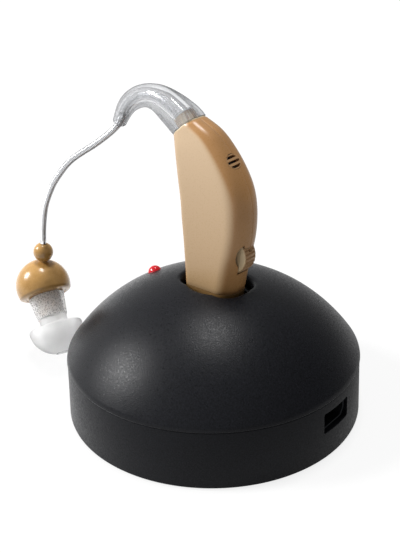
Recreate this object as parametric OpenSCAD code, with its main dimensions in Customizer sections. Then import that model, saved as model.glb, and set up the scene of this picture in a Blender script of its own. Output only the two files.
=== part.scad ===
// Behind-the-ear hearing amplifier standing in its round charging base.
// Origin: centre of the base, on the surface it stands on. +Z up.
// +X is the side of the amplifier's spine and of the power socket; -Y is the side that faces the viewer.

/* [Charging base] */
// Outside diameter of the base
base_d = 60; // [56:0.5:66]
// Height of the band below the dome
tray_h = 12; // [11.5:0.25:14]
// Height of the dome above the band
dome_rise = 16.49; // [15:0.01:18]
// Radius of the shoulder between the crown and the band
shoulder_r = 2; // [1.5:0.25:3]
// Step from the dome's rim in to the top of the band
rim_step = 0.1; // [0.1:0.05:0.6]
// How much wider the band is at its foot than at its top
band_draft = 0.5; // [0.1:0.05:0.8]
// Wall thickness of the dome and the tray
base_wall = 1.8; // [1.4:0.1:2.2]
// Thickness of the tray's floor
tray_floor = 2; // [1.6:0.1:2.4]
// Edge round at the foot of the tray
foot_round = 0.3; // [0.2:0.1:1]

/* [Rubber pad] */
// Width of the tray's bare edge round the rubber pad
pad_edge = 3.9; // [3:0.1:7]
// Thickness of the rubber pad
pad_t = 0.9; // [0.7:0.1:1.2]
// How far the pad stands below the tray
pad_proud = 0.2; // [0.15:0.05:0.5]

/* [Cradle slot] */
// Gap between the case and each end of the slot
slot_end_gap = 0.9; // [0.6:0.05:1.4]
// Gap between the case and each side of the slot
slot_side_gap = 1; // [0.7:0.05:1.4]
// Corner radius of the slot
slot_corner = 3.4; // [2.5:0.1:4.2]
// Where the slot's middle lies along X
slot_x = 1.4; // [1.2:0.1:1.6]
// How far the slot's rounded lip flares out at the surface
lip_flare = 1.2; // [0.6:0.1:1.6]
// Depth of the flared lip
lip_depth = 1.5; // [1:0.1:1.7]
// Gap between the case and the pocket that guides it
pocket_gap = 0.5; // [0.3:0.05:0.6]
// Wall thickness of the pocket
pocket_wall = 1.2; // [0.9:0.1:1.5]
// Thickness of the pocket's floor
pocket_floor = 1.6; // [1.2:0.1:2]
// Height of the pocket's floor, where the case stands, above the charger board
seat_rise = 8.575; // [8:0.005:10]

/* [Amplifier case] */
// Height of the case from its foot to the top of its spine
case_h = 45.6; // [44:0.1:47]
// Width of the case at its foot
case_foot_w = 9.4; // [9:0.1:9.8]
// Thickness of the case, side to side
case_t = 7.8; // [7.4:0.1:8.4]
// Wall thickness of the case
case_wall = 1; // [0.8:0.05:1.1]
// Thickness of the case's top under the ear hook
case_top_wall = 1.4; // [1.1:0.1:1.8]
// Height of the end cap above the case's foot
end_cap_h = 12.4; // [12:0.1:13]
// Height of the lip that joins the end cap into the case
cap_lip_h = 1.4; // [1:0.1:1.8]
// Gap around that lip
cap_lip_gap = 0.06; // [0.04:0.01:0.1]
// Thickness of that lip
cap_lip_t = 0.5; // [0.4:0.05:0.6]
// Thickness of the end cap's floor
cap_floor = 1.2; // [1:0.1:1.5]

/* [Ear hook] */
// How far the hook reaches forward from the case
hook_reach = 18.8; // [18:0.1:19.5]
// Height of the hook's crest above its tip
hook_rise = 6.5; // [6:0.1:7]
// Diameter of the hook at its tip
hook_tip_d = 2.8; // [2.6:0.05:3]
// Radius of the channel inside the hook
hook_channel_r = 0.85; // [0.8:0.05:0.95]

/* [Volume wheel] */
// Diameter of the volume wheel
wheel_d = 8; // [7.6:0.1:8.2]
// Width of the volume wheel
wheel_w = 3.2; // [2.8:0.1:3.4]
// Height of the wheel's axis above the case's foot
wheel_h = 20.4; // [20:0.1:21]
// How far inside the case's spine the wheel's axis lies
wheel_inset = 3.04; // [2.9:0.01:3.2]
// Diameter of the wheel's axle
axle_d = 1.2; // [1:0.1:1.4]
// Running gap between the axle and the wheel, on the radius
axle_gap = 0.05; // [0.03:0.01:0.08]

/* [Lead and earpiece] */
// Diameter of the jacketed lead
lead_d = 1.35; // [1.2:0.05:1.4]
// Diameter of the bead at the lead's end
bead_d = 4.4; // [4.2:0.1:4.6]
// Diameter of the round receiver shell
receiver_d = 12.3; // [12:0.1:12.6]
// Wall thickness of the receiver shell
receiver_wall = 1; // [0.8:0.1:1.2]
// How far the shell reaches past its centre towards the ear
receiver_skirt = 2.4; // [2.2:0.1:2.6]
// Diameter of the sound spout
spout_d = 5; // [4.8:0.1:5.2]
// Diameter of the ear tip's sleeve where it meets the receiver
sleeve_d = 8.1; // [7.9:0.1:8.3]
// Diameter of the ear tip's sleeve at its far end
sleeve_end_d = 6.8; // [6.6:0.1:7]
// Length of the ear tip's sleeve
sleeve_l = 5.2; // [5:0.1:5.5]
// Diameter of the ear tip's mushroom
mushroom_d = 12; // [11.6:0.1:12.2]

/* [Small parts] */
// Diameter of the indicator lamp
led_d = 3; // [2.8:0.1:3.2]
// How far inside the ring of screw posts the lamp stands
led_inset = 6.6; // [6:0.1:8]
// Inside width of the power socket
usb_w = 7.7; // [7.5:0.1:7.9]
// Inside height of the power socket
usb_h = 3.95; // [3.8:0.05:4.1]
// Drop from the band's top to the power socket's middle
usb_drop = 4.1; // [3.9:0.05:4.3]
// Diameter of the vent's round grille
vent_d = 3.1; // [2.9:0.1:3.3]
// Diameter of the contact pins' tips
pin_tip_d = 1.1; // [1:0.05:1.2]
// Distance between the two charging contacts
contact_spacing = 4.4; // [4.2:0.1:4.6]

/* [Hidden] */
$fn = 64;

// Overrun of every cut past the face it opens
cut = 1;
// Smallest clearance between two fixed pieces
fit_gap = 0.05;

// Base shells
base_r = base_d / 2;
tray_r = base_r - rim_step;
// The crown's arc peaks at the dome's height and runs on into the shoulder's arc
crown_run = pow(base_r - shoulder_r, 2) + pow(dome_rise, 2) - pow(shoulder_r, 2);
crown_r = crown_run / (2 * (dome_rise - shoulder_r));
dome_top = tray_h + dome_rise;
crown_z = dome_top - crown_r;
dome_in_r = crown_r - base_wall;
tray_in_r = tray_r - base_wall;
tray_floor_top = pad_proud + tray_floor;
skirt_h = 2;
skirt_t = 1;
skirt_gap = 0.1;
skirt_r = tray_in_r - skirt_gap;
pad_r = tray_r - pad_edge;
pad_recess_gap = 0.2;

// Screw posts of the base: three at even angles
post_count = 3;
post_angle = 60;
post_r = 2.8;
post_margin = 2.9;
post_ring = tray_in_r - post_margin - post_r;
post_drop = 4.5;
post_top = tray_h - post_drop;
screw_r = 1.1;
screw_head_r = 2;
screw_head_h = 1.3;
screw_drop = 2;
screw_top = tray_h - screw_drop;
screw_socket_r = 0.6;

// Charger board
board_t = 1.2;
usb_z = tray_h - usb_drop;
board_top = usb_z - usb_h / 2;
seat_z = board_top + seat_rise;
board_post_gap = 2.1;
board_back = post_ring - post_r - board_post_gap;
board_w = 19;
board_edge_gap = 0.6;
board_edge_r = tray_in_r - board_edge_gap;
standoff_r = 2.2;
standoff_inset = 5.5;
standoff_x = [standoff_inset - board_back, 10];
standoff_y = 6.6;
board_screw_r = 0.9;
board_screw_head_r = 1.6;
board_screw_head_h = 1;
board_screw_bite_share = 0.5;
board_screw_bite = board_screw_bite_share * (board_top - board_t - tray_floor_top);
board_screw_l = board_screw_head_h + board_t + board_screw_bite;
component_size = [4, 3, 1.2];
component_x = -7.2;
chip_size = [6, 6, 1];
chip_gap = 3.1;

// Power socket
usb_wall = 0.35;
usb_l = 8.6;
usb_setback = 0.7;
usb_front = tray_r - usb_setback;
usb_port_gap = 0.15;
usb_foot_share = 0.78;
usb_side_share = 0.4;
usb_tongue_w = 6;
usb_tongue_l = 6;
usb_tongue_t = 1.1;
usb_back_t = 1.2;

// Indicator lamp: its axis stands square to the dome
led_r = led_d / 2;
led_x = post_ring - led_inset;
led_tilt = asin(led_x / crown_r);
led_body_over = 0.2;
led_body_l = base_wall + led_body_over;
led_flange_w = 0.4;
led_flange_r = led_r + led_flange_w;
led_flange_t = 1;
led_sunk = 0.4;
led_leg_d = 0.5;
led_leg_spacing = 2.54;
led_leg_drop = 1.5;
led_leg_shift = 2.6;
led_leg_x = led_leg_shift - led_x;

// Slot and pocket: the case widens upwards by these shares of its foot
slot_flare_share = 1.234;
slot_l = slot_flare_share * case_foot_w + 2 * slot_end_gap;
slot_w = case_t + 2 * slot_side_gap;
pocket_flare_share = 1.16;
pocket_cavity = [pocket_flare_share * case_foot_w + 2 * pocket_gap, case_t + 2 * pocket_gap];
pocket_corner = 3;
pocket_outer = [for (d = pocket_cavity) d + 2 * pocket_wall];
pocket_shift = 0.2;
pocket_x = slot_x + pocket_shift;
pocket_bottom = seat_z - pocket_floor;
pocket_drop = 1.9;
pocket_top = crown_z + dome_in_r - pocket_drop;
ear_r = 2.8;
ear_y = pocket_outer[1] / 2 + ear_r + fit_gap;
ear_t = 1.6;
ear_drop = 6;
ear_z = pocket_top - ear_drop;
ear_screw_l = 5.2;
ear_screw_r = 0.9;
ear_head_r = 1.7;
ear_head_h = 1;

// Spring contacts in the pocket's floor
pin_tip_r = pin_tip_d / 2;
pin_collar_r = 0.85;
pin_collar_t = 0.5;
pin_travel = 0.6;
barrel_in_r = 0.92;
barrel_r = 1.25;
barrel_l = 6.2;
barrel_bottom = seat_z - barrel_l;
barrel_floor = 0.5;
barrel_lip = 0.4;
contact_gap = 0.05;
barrel_top = seat_z - contact_gap - pin_travel;
pin_collar_top = barrel_top - barrel_lip - contact_gap;
pin_run_gap = 0.06;
spring_r = 0.8;
spring_wall = 0.22;
wire_d = 0.8;

// Amplifier case: each station is a share of the height and of the foot's width, at the inner
// edge and at the spine. The plane of each station runs through its two points.
case_shift = 0.05;
case_foot_x = slot_x - case_shift;
inner_shares = [
    [-0.49, 0], [-0.52, 0.13], [-0.56, 0.26], [-0.58, 0.38], [-0.6, 0.48], [-0.63, 0.57],
    [-0.65, 0.66], [-0.7, 0.74], [-0.75, 0.81], [-0.8, 0.865], [-0.84, 0.895], [-0.88, 0.915]
];
spine_shares = [
    [0.49, 0], [0.54, 0.13], [0.61, 0.26], [0.73, 0.38], [0.86, 0.48], [0.93, 0.57],
    [0.93, 0.66], [0.84, 0.74], [0.63, 0.82], [0.34, 0.895], [0.04, 0.95], [-0.4, 0.995]
];
thickness_shares = [0.94, 0.97, 1, 1, 1, 1, 1, 0.99, 0.96, 0.91, 0.85, 0.78];
inner_round_shares = [0.3, 0.3, 0.3, 0.3, 0.3, 0.3, 0.3, 0.32, 0.36, 0.42, 0.5, 0.6];
spine_round_shares = [0.85, 0.88, 0.9, 0.92, 0.94, 0.94, 0.94, 0.92, 0.9, 0.85, 0.78, 0.68];
station_count = len(inner_shares);
corner_steps = 3;
spine_steps = 5;
steps_between = 2;
last_station = (station_count - 1) * steps_between;
top_steps = 2;
cap_foot_shares = [1, 0.45, 0.12];

// Ear hook: centreline as shares of its reach and rise, from the case's top to the tip
hook_line_shares = [
    [0, 0.37], [0.06, 0.49], [0.12, 0.6], [0.2, 0.73], [0.29, 0.86], [0.37, 0.95], [0.45, 0.995],
    [0.55, 1], [0.64, 0.95], [0.73, 0.85], [0.82, 0.69], [0.89, 0.49], [0.95, 0.24], [1, 0]
];
hook_width_shares = [2.11, 2.1, 2.07, 2.02, 1.93, 1.84, 1.75, 1.63, 1.56, 1.5, 1.4, 1.28, 1.12, 1];
hook_square_shares = [0.55, 0.55, 0.6, 0.68, 0.78, 0.88, 0.95, 1, 1, 1, 1, 1, 1, 1];
hook_steps = 4;
hook_bore_l = 2.4;
channel_start_step = 2;
channel_end_share = 0.9;
nozzle_r = 1.5;
nozzle_bore_r = 1.1;
nozzle_out_l = 2.2;
nozzle_flange_r = 1.85;
nozzle_flange_t = 0.6;
wire_tail_l = 3.5;
inner_wire_d = 0.8;
lead_entry_steps = 3;

// Volume wheel
wheel_r = wheel_d / 2;
knurl_count = 30;
knurl_r = 0.22;
wheel_slot_gap = 0.3;
scoop_in_r = 2;
scoop_out_r = 2.5;
scoop_depth = 2.4;
scoop_shift = 4.3;
wheel_bore_l = 2.1;
control_r = 1.9;
control_t = 0.5;
control_gap = 0.08;
control_flat = 0.7;
control_leg_l = 1.8;
control_leg_w = 3;
control_leg_gap = 0.65;
index_angle = 20;
index_size = [0.45, 0.9, 0.5];

// Pieces inside the case
inner_board_t = 0.8;
inner_board_shares = [[-0.42, 0.31], [0.28, 0.31], [0.5, 0.59], [0.48, 0.69], [0.2, 0.8], [-0.5, 0.8]];
board_notch_gap = 0.5;
chip_place_shares = [-0.2, 0.68];
chip_l = 4.6;
chip_w = 3.2;
chip_t = 1.3;
battery_d = 5.8;
battery_t = 3.6;
battery_rim = 0.4;
battery_h = 5.6;
mic_r = 1.5;
mic_l = 2;
vent_t = 1.1;
vent_place_shares = [0.52, 0.845];
vent_tilt = 52;
vent_slit_w = 0.5;
vent_slit_spacing = 0.95;
vent_rim = 0.2;
vent_y = -0.6;
vent_roll = 10;
contact_r = 1.1;
contact_head_t = 0.35;
contact_stem_r = 0.5;

// Earpiece: the bead hangs on the lead, and the receiver hangs below it at its own slant
receiver_centre = [-42.4, -9.3, 17];
receiver_lean = 40;
receiver_heading = -22.5;
bead_lean = 6;
bead_heading = 41;
bead_gap = 0.06;
receiver_r = receiver_d / 2;
bead_r = bead_d / 2;
bead_reach = receiver_r + bead_r + bead_gap;
bead_stem_r = 0.9;
bead_flange_r = 1.5;
bead_flange_t = 0.6;
shell_edge_r = 0.7;
sleeve_gap = 0.1;
spout_r = spout_d / 2;
spout_wall = 0.8;
spout_l = 4.6;
spout_plate_t = 1.1;
sleeve_bore_gap = 0.05;
driver_r = 3.9;
driver_t = 2.6;
driver_boss_r = 2;
driver_boss_t = 0.5;
filter_t = 0.5;
neck_d = 6.2;
neck_l = 2.5;
mushroom_depth_share = 0.98;
skirt_wall = 0.7;
tip_bore_r = 1.3;

// Route of the free lead, from the hook's tip to the bead
lead_route = [
    [-22, 0, 57.9], [-22.4, 0, 57.3], [-23.4, 0, 55.7], [-24, -0.3, 54.8], [-25, -1.2, 53.6],
    [-26.5, -2.3, 52.2], [-28.1, -3.3, 50.9], [-30.1, -4.4, 49.5], [-32.1, -5.5, 48], [-33.6, -6.1, 46.6],
    [-34.8, -6.7, 45.1], [-36.8, -7.5, 42.3], [-38.4, -8, 39.4], [-39.7, -8.3, 36.5], [-40.6, -8.4, 33.5],
    [-41.3, -8.4, 30.6], [-41.5, -8.5, 28.6], [-41.6, -8.6, 27.5]
];
lead_steps = 2;
lead_sides = 8;

// Vectors
function unit(v) = v / norm(v);
function mix(a, b, t) = a + (b - a) * t;

// A point on the smooth curve through four values, between the middle two
function spline(a, b, c, d, t) =
    0.5 * (2 * b + (c - a) * t + (2 * a - 5 * b + 4 * c - d) * t * t + (3 * b - a - 3 * c + d) * t * t * t);

// A list made smooth, with n steps between its entries; an end continues straight
function smooth(list, n) =
    let (m = len(list) - 1)
    [
        for (i = [0:m - 1], k = [0:n - 1])
            let (
                a = i > 0 ? list[i - 1] : 2 * list[0] - list[1],
                d = i < m - 1 ? list[i + 2] : 2 * list[m] - list[m - 1]
            )
            spline(a, list[i], list[i + 1], d, k / n),
        list[m]
    ];

// A closed skin over rings of equally many points, each ring listed the same way round
module skin(rings) {
    n = len(rings[0]);
    m = len(rings);
    centre_a = [for (k = [0:2]) let (s = [for (p = rings[0]) p[k]]) s * [for (p = s) 1] / n];
    centre_b = [for (k = [0:2]) let (s = [for (p = rings[m - 1]) p[k]]) s * [for (p = s) 1] / n];
    points = concat([for (r = rings) each r], [centre_a, centre_b]);
    sides = [
        for (i = [0:m - 2], j = [0:n - 1])
            let (a = i * n + j, b = i * n + (j + 1) % n)
            each [[a, b, b + n], [a, b + n, a + n]]
    ];
    ends = [
        for (j = [0:n - 1])
            let (a = j, b = (j + 1) % n, c = (m - 1) * n)
            each [[n * m, b, a], [n * m + 1, c + a, c + b]]
    ];
    polyhedron(points, concat(sides, ends), convexity = 6);
}

// Directions along a route, at each of its points
function headings(path) =
    let (m = len(path) - 1)
    [for (i = [0:m]) unit(path[min(i + 1, m)] - path[max(i - 1, 0)])];

// A direction turned off the route's heading, carried along without twisting
function carry(dirs, i, up) =
    i < 0 ? up : let (u = carry(dirs, i - 1, up)) unit(u - dirs[i] * (u * dirs[i]));

// Rings of a round tube along a route
function tube_rings(path, r, sides, up) =
    let (dirs = headings(path))
    [
        for (i = [0:len(path) - 1])
            let (u = carry(dirs, i, up), v = cross(dirs[i], u))
            [for (k = [0:sides - 1]) path[i] + r * (cos(360 * k / sides) * u + sin(360 * k / sides) * v)]
    ];

module tube(path, d, sides = 8, up = [0, 1, 0]) skin(tube_rings(path, d / 2, sides, up));

// An upright rounded block whose top and bottom are flat
module rounded_block(size, h, r) {
    linear_extrude(h) {
        for (along = [0, 1])
            square([size[0] - (along ? 0 : 2 * r), size[1] - (along ? 2 * r : 0)], center = true);
        for (sx = [-1, 1], sy = [-1, 1])
            translate([sx * (size[0] / 2 - r), sy * (size[1] / 2 - r)]) circle(r);
    }
}

// A cylinder along Y
module rod_y(r, from, to) translate([0, to, 0]) rotate([90, 0, 0]) cylinder(r = r, h = to - from);

// Half outline of the dome: a crown arc and a shoulder arc above the rim
module dome_outline() {
    tangent_x = (base_r - shoulder_r) * crown_r / (crown_r - shoulder_r);
    intersection() {
        translate([0, crown_z]) circle(crown_r, $fn = 180);
        translate([0, tray_h]) square([tangent_x, crown_r]);
    }
    intersection() {
        translate([base_r - shoulder_r, tray_h]) circle(shoulder_r, $fn = 48);
        translate([0, tray_h]) square([base_r, shoulder_r]);
    }
}

// Charging base

module non_slip_pad() {
    color("#1b1b1d") cylinder(r = pad_r, h = pad_t);
}

module tray_posts() {
    for (i = [0:post_count - 1])
        rotate(post_angle + i * 360 / post_count) translate([post_ring, 0, 0]) children();
}

module charger_tray() {
    foot_r = tray_r + band_draft;
    color("#2b2d33") difference() {
        union() {
            rotate_extrude() difference() {
                polygon([
                    [0, pad_proud], [foot_r - foot_round, pad_proud], [foot_r, pad_proud + foot_round],
                    [tray_r, tray_h], [0, tray_h]
                ]);
                translate([-cut, tray_floor_top]) square([tray_in_r + cut, tray_h]);
            }
            tray_posts() translate([0, 0, pad_proud]) cylinder(r = post_r, h = post_top - pad_proud);
            for (x = standoff_x, s = [-1, 1])
                translate([x, s * standoff_y, pad_proud])
                    cylinder(r = standoff_r, h = board_top - board_t - pad_proud);
        }
        translate([0, 0, -cut]) cylinder(r = pad_r + pad_recess_gap, h = cut + pad_t);
        tray_posts() {
            cylinder(r = screw_r + fit_gap, h = tray_h);
            cylinder(r = screw_head_r + 2 * fit_gap, h = pad_t + screw_head_h + fit_gap);
        }
        for (x = standoff_x, s = [-1, 1])
            translate([x, s * standoff_y, tray_floor_top])
                cylinder(r = board_screw_r + fit_gap, h = tray_h);
        translate([usb_front - usb_l / 2, -usb_w / 2 - usb_port_gap, usb_z - usb_h / 2 - usb_port_gap])
            cube([usb_l, usb_w + 2 * usb_port_gap, usb_h + 2 * usb_port_gap]);
    }
}

module cross_screw(r, h, head_r, head_h) {
    difference() {
        union() {
            cylinder(r = r, h = h);
            cylinder(r = head_r, h = head_h);
        }
        translate([0, 0, -cut]) cylinder(r = screw_socket_r, h = cut + head_h / 2);
    }
}

module tray_screws() {
    color("#9a9c9f") tray_posts() translate([0, 0, pad_t])
        cross_screw(screw_r, screw_top - pad_t, screw_head_r, screw_head_h);
}

module charger_dome() {
    slot = [slot_l, slot_w];
    mouth = [for (d = slot) d + 2 * lip_flare];
    color("#2f3136") difference() {
        union() {
            difference() {
                rotate_extrude() dome_outline();
                rotate_extrude() intersection() {
                    translate([0, crown_z]) circle(dome_in_r, $fn = 180);
                    translate([0, tray_h - cut]) square([base_r - base_wall, crown_r]);
                }
            }
            rotate_extrude() {
                translate([skirt_r - skirt_t, tray_h - skirt_h]) square([skirt_t, skirt_h + skirt_t]);
                translate([skirt_r - skirt_t, tray_h])
                    square([base_r - base_wall / 2 - skirt_r + skirt_t, skirt_t]);
            }
            intersection() {
                rotate_extrude() dome_outline();
                union() {
                    tray_posts() translate([0, 0, post_top]) cylinder(r = post_r, h = crown_r);
                    for (s = [-1, 1])
                        translate([pocket_x, s * ear_y, ear_z + ear_t]) cylinder(r = ear_r, h = crown_r);
                }
            }
            tray_posts() translate([0, 0, post_top]) cylinder(r = post_r, h = tray_h - post_top + cut);
        }
        translate([slot_x, 0, pocket_top - cut]) rounded_block(slot, crown_r, slot_corner);
        hull() {
            translate([slot_x, 0, dome_top - lip_depth - lip_flare])
                rounded_block(slot, fit_gap, slot_corner, $fn = 32);
            translate([slot_x, 0, dome_top]) rounded_block(mouth, fit_gap, slot_corner + lip_flare, $fn = 32);
        }
        led_axis() cylinder(r = led_r + fit_gap, h = 2 * led_body_l + cut, center = true);
        tray_posts() cylinder(r = screw_r + fit_gap, h = screw_top + fit_gap);
        for (s = [-1, 1])
            translate([pocket_x, s * ear_y, 0])
                cylinder(r = ear_screw_r + fit_gap, h = ear_z - ear_head_h + ear_screw_l + fit_gap);
    }
}

// Frame of the indicator lamp: its origin is on the dome's surface and its Z points out
module led_axis() {
    translate([0, 0, crown_z]) rotate([0, -led_tilt, 0]) translate([0, 0, crown_r]) children();
}

module charge_led() {
    color("#d01020") led_axis() {
        translate([0, 0, -led_sunk]) intersection() {
            sphere(led_r);
            cylinder(r = led_r, h = led_r);
        }
        translate([0, 0, -led_body_l]) cylinder(r = led_r, h = led_body_l - led_sunk);
        translate([0, 0, -led_body_l - led_flange_t]) cylinder(r = led_flange_r, h = led_flange_t);
    }
}

function led_point(up) =
    [-sin(led_tilt) * (crown_r + up), 0, crown_z + cos(led_tilt) * (crown_r + up)];

module led_leads() {
    foot = led_point(-led_body_l - led_flange_t);
    drop = led_point(-led_body_l - led_flange_t - led_leg_drop);
    color("#b9babd") for (s = [-1, 1]) {
        off = [0, s * led_leg_spacing / 2, 0];
        tube([
            foot + off, mix(foot, drop, 0.5) + off, drop + off,
            [mix(drop[0], led_leg_x, 0.7), off[1], drop[2] - led_leg_drop],
            [led_leg_x, off[1], drop[2] - 2 * led_leg_drop], [led_leg_x, off[1], board_top]
        ], led_leg_d);
    }
}

module charger_board() {
    chip_x = usb_front - usb_l - chip_gap - chip_size[0];
    color("#1f5c34") {
        difference() {
            intersection() {
                translate([-board_back, -board_w / 2, board_top - board_t])
                    cube([board_back + board_edge_r, board_w, board_t]);
                cylinder(r = board_edge_r, h = board_top);
            }
            for (x = standoff_x, s = [-1, 1])
                translate([x, s * standoff_y, 0]) cylinder(r = board_screw_r + fit_gap, h = tray_h);
        }
    }
    color("#222222") {
        translate([chip_x, -chip_size[1] / 2, board_top]) cube(chip_size);
        for (s = [-1, 1])
            translate([component_x, (s - 0.5) * component_size[1], board_top]) cube(component_size);
    }
}

module board_screws() {
    color("#a5a7aa") for (x = standoff_x, s = [-1, 1])
        translate([x, s * standoff_y, board_top + board_screw_head_h]) mirror([0, 0, 1])
            cross_screw(board_screw_r, board_screw_l, board_screw_head_r, board_screw_head_h);
}

// Outline of the power socket, narrower below
module usb_outline(grow) {
    w = usb_w / 2 + grow;
    low = -usb_h / 2 - grow;
    high = usb_h / 2 + grow;
    polygon([
        [-w * usb_foot_share, low], [w * usb_foot_share, low], [w, mix(low, high, usb_side_share)], [w, high],
        [-w, high], [-w, mix(low, high, usb_side_share)]
    ]);
}

module usb_frame() {
    translate([usb_front, 0, usb_z]) rotate([90, 0, -90]) children();
}

module usb_socket_shell() {
    color("#c9cbce") usb_frame() difference() {
        linear_extrude(usb_l) usb_outline(0);
        translate([0, 0, -cut]) linear_extrude(usb_l - usb_back_t + cut) usb_outline(-usb_wall);
    }
}

module usb_socket_tongue() {
    color("#16171a") usb_frame() {
        translate([-usb_tongue_w / 2, -usb_tongue_t / 2, usb_l - usb_back_t - usb_tongue_l])
            cube([usb_tongue_w, usb_tongue_t, usb_tongue_l]);
    }
}

// Cradle

module cradle_pocket() {
    color("#242529") difference() {
        union() {
            translate([pocket_x, 0, pocket_bottom])
                rounded_block(pocket_outer, pocket_top - pocket_bottom, pocket_corner + pocket_wall);
            hull() for (s = [-1, 1])
                translate([pocket_x, s * ear_y, ear_z]) cylinder(r = ear_r, h = ear_t);
        }
        translate([pocket_x, 0, seat_z]) rounded_block(pocket_cavity, crown_r, pocket_corner);
        for (s = [-1, 1]) {
            translate([pocket_x, s * ear_y, 0]) cylinder(r = ear_screw_r + fit_gap, h = crown_r);
            translate([case_foot_x + s * contact_spacing / 2, 0, 0])
                cylinder(r = barrel_r + fit_gap, h = seat_z + cut);
        }
    }
}

module pocket_screws() {
    color("#9a9c9f") for (s = [-1, 1])
        translate([pocket_x, s * ear_y, ear_z - ear_head_h])
            cross_screw(ear_screw_r, ear_screw_l, ear_head_r, ear_head_h);
}

// Axis of one spring contact, left or right of the case's middle
module contact_place(side) {
    translate([case_foot_x + side * contact_spacing / 2, 0, 0]) children();
}

module pin_barrels() {
    color("#b08a3c") for (side = [-1, 1]) contact_place(side) difference() {
        translate([0, 0, barrel_bottom]) cylinder(r = barrel_r, h = barrel_top - barrel_bottom);
        translate([0, 0, barrel_bottom + barrel_floor])
            cylinder(r = barrel_in_r, h = barrel_top - barrel_lip - barrel_bottom - barrel_floor);
        cylinder(r = pin_tip_r + pin_run_gap, h = seat_z + cut);
    }
}

module contact_pin(side) {
    color("#d8b04a") contact_place(side) {
        translate([0, 0, pin_collar_top - pin_collar_t]) cylinder(r = pin_collar_r, h = pin_collar_t);
        translate([0, 0, pin_collar_top - pin_collar_t])
            cylinder(r = pin_tip_r, h = seat_z - contact_gap - pin_collar_top + pin_collar_t);
    }
}

module contact_pin_left() contact_pin(-1);
module contact_pin_right() contact_pin(1);

module pin_spring(side) {
    low = barrel_bottom + barrel_floor;
    color("#8e9094") contact_place(side) difference() {
        translate([0, 0, low]) cylinder(r = spring_r, h = pin_collar_top - pin_collar_t - low);
        translate([0, 0, low - cut]) cylinder(r = spring_r - spring_wall, h = seat_z);
    }
}

module pin_spring_left() pin_spring(-1);
module pin_spring_right() pin_spring(1);

module contact_wires() {
    color("#a3282c") for (side = [-1, 1]) {
        x = case_foot_x + side * contact_spacing / 2;
        far = x + side * contact_spacing / 2;
        tube([
            [x, 0, barrel_bottom], [x, 0, barrel_bottom - wire_d / 2],
            [mix(x, far, 0.5), 0, mix(barrel_bottom, board_top, 0.5)],
            [far, 0, board_top + wire_d / 2], [far, 0, board_top]
        ], wire_d);
    }
}

// Amplifier case

function case_point(share) = [case_foot_x + share[0] * case_foot_w, 0, seat_z + share[1] * case_h];
inner_line = smooth([for (s = inner_shares) case_point(s)], steps_between);
spine_line = smooth([for (s = spine_shares) case_point(s)], steps_between);
half_t_line = smooth([for (s = thickness_shares) s * case_t / 2], steps_between);
function round_line(shares) =
    smooth([for (i = [0:station_count - 1]) shares[i] * thickness_shares[i] * case_t / 2], steps_between);
inner_round_line = round_line(inner_round_shares);
spine_round_line = round_line(spine_round_shares);

// Quarter round from angle a to b about a centre
function arc(c, r, a, b, n) = [for (k = [0:n]) let (t = mix(a, b, k / n)) c + r * [cos(t), sin(t)]];

// Half outline of one station, from the inner edge to the spine, drawn in by the wall
function half_outline(w, h, ri, rs, inset) =
    let (ri2 = max(ri - inset, inset / 2), rs2 = max(rs - inset, inset / 2))
    concat(
        arc([inset + ri2, h - inset - ri2], ri2, 180, 90, corner_steps),
        arc([w - inset - rs2, h - inset - rs2], rs2, 90, 0, spine_steps)
    );

function full_outline(half) =
    concat(half, [for (k = [len(half) - 1:-1:0]) [half[k][0], -half[k][1]]]);

// Ring of the case at one station, drawn in by the wall and lifted square to its plane
function case_ring(i, inset, lift = 0) =
    let (
        a = inner_line[i], b = spine_line[i], w = norm(b - a), u = (b - a) / w, n = cross(u, [0, 1, 0]),
        half = half_outline(w, half_t_line[i], inner_round_line[i], spine_round_line[i], inset)
    )
    [for (p = full_outline(half)) a + u * p[0] + [0, p[1], 0] + n * lift];

// Plane of the case's top, where the ear hook sits
top_in = inner_line[last_station];
top_out = spine_line[last_station];
top_mid = (top_in + top_out) / 2;
top_tilt = atan2(top_out[2] - top_in[2], top_out[0] - top_in[0]);
module at_top() translate(top_mid) rotate([0, -top_tilt, 0]) children();

cap_top_z = seat_z + end_cap_h;
function level_ring(z, inset) =
    let (
        t = lookup_station(z), i = floor(t), f = t - i,
        a = case_ring(i, inset), b = case_ring(min(i + 1, last_station), inset)
    )
    [for (k = [0:len(a) - 1]) let (p = mix(a[k], b[k], f)) [p[0], p[1], z]];
function lookup_station(z) =
    let (below = [for (i = [0:last_station]) if (inner_line[i][2] <= z) i], i = max(below))
    i + (z - inner_line[i][2]) / (inner_line[i + 1][2] - inner_line[i][2]);
upper_stations = [for (i = [0:last_station]) if (inner_line[i][2] > cap_top_z + cap_lip_h) i];

module case_shell() {
    skin(concat(
        [level_ring(cap_top_z, 0)],
        [for (i = upper_stations) case_ring(i, 0)],
        [case_ring(last_station, case_wall / 2), case_ring(last_station, case_wall)]
    ));
}

module case_hollow() {
    skin(concat(
        [level_ring(cap_top_z - cap_lip_h, case_wall)],
        [for (i = upper_stations) if (i < last_station - top_steps) case_ring(i, case_wall)],
        [case_ring(last_station, case_wall, -case_top_wall)]
    ));
}

// The wheel's axis follows the spine at its own height
wheel_z = seat_z + wheel_h;
wheel_centre = [lookup(wheel_z, [for (p = spine_line) [p[2], p[0]]]) - wheel_inset, 0, wheel_z];
module wheel_place() translate(wheel_centre) children();

// Opening for the wheel: a slot, and a dished scoop on each side of it
module wheel_opening() {
    wheel_place() {
        rod_y(wheel_r + wheel_slot_gap, -wheel_w / 2 - wheel_slot_gap, wheel_w / 2 + wheel_slot_gap);
        for (s = [0, 1]) mirror([0, s, 0])
            translate([scoop_shift, -wheel_w / 2, 0]) rotate([90, 0, 0])
                cylinder(r1 = scoop_in_r, r2 = scoop_out_r, h = scoop_depth);
    }
}

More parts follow.
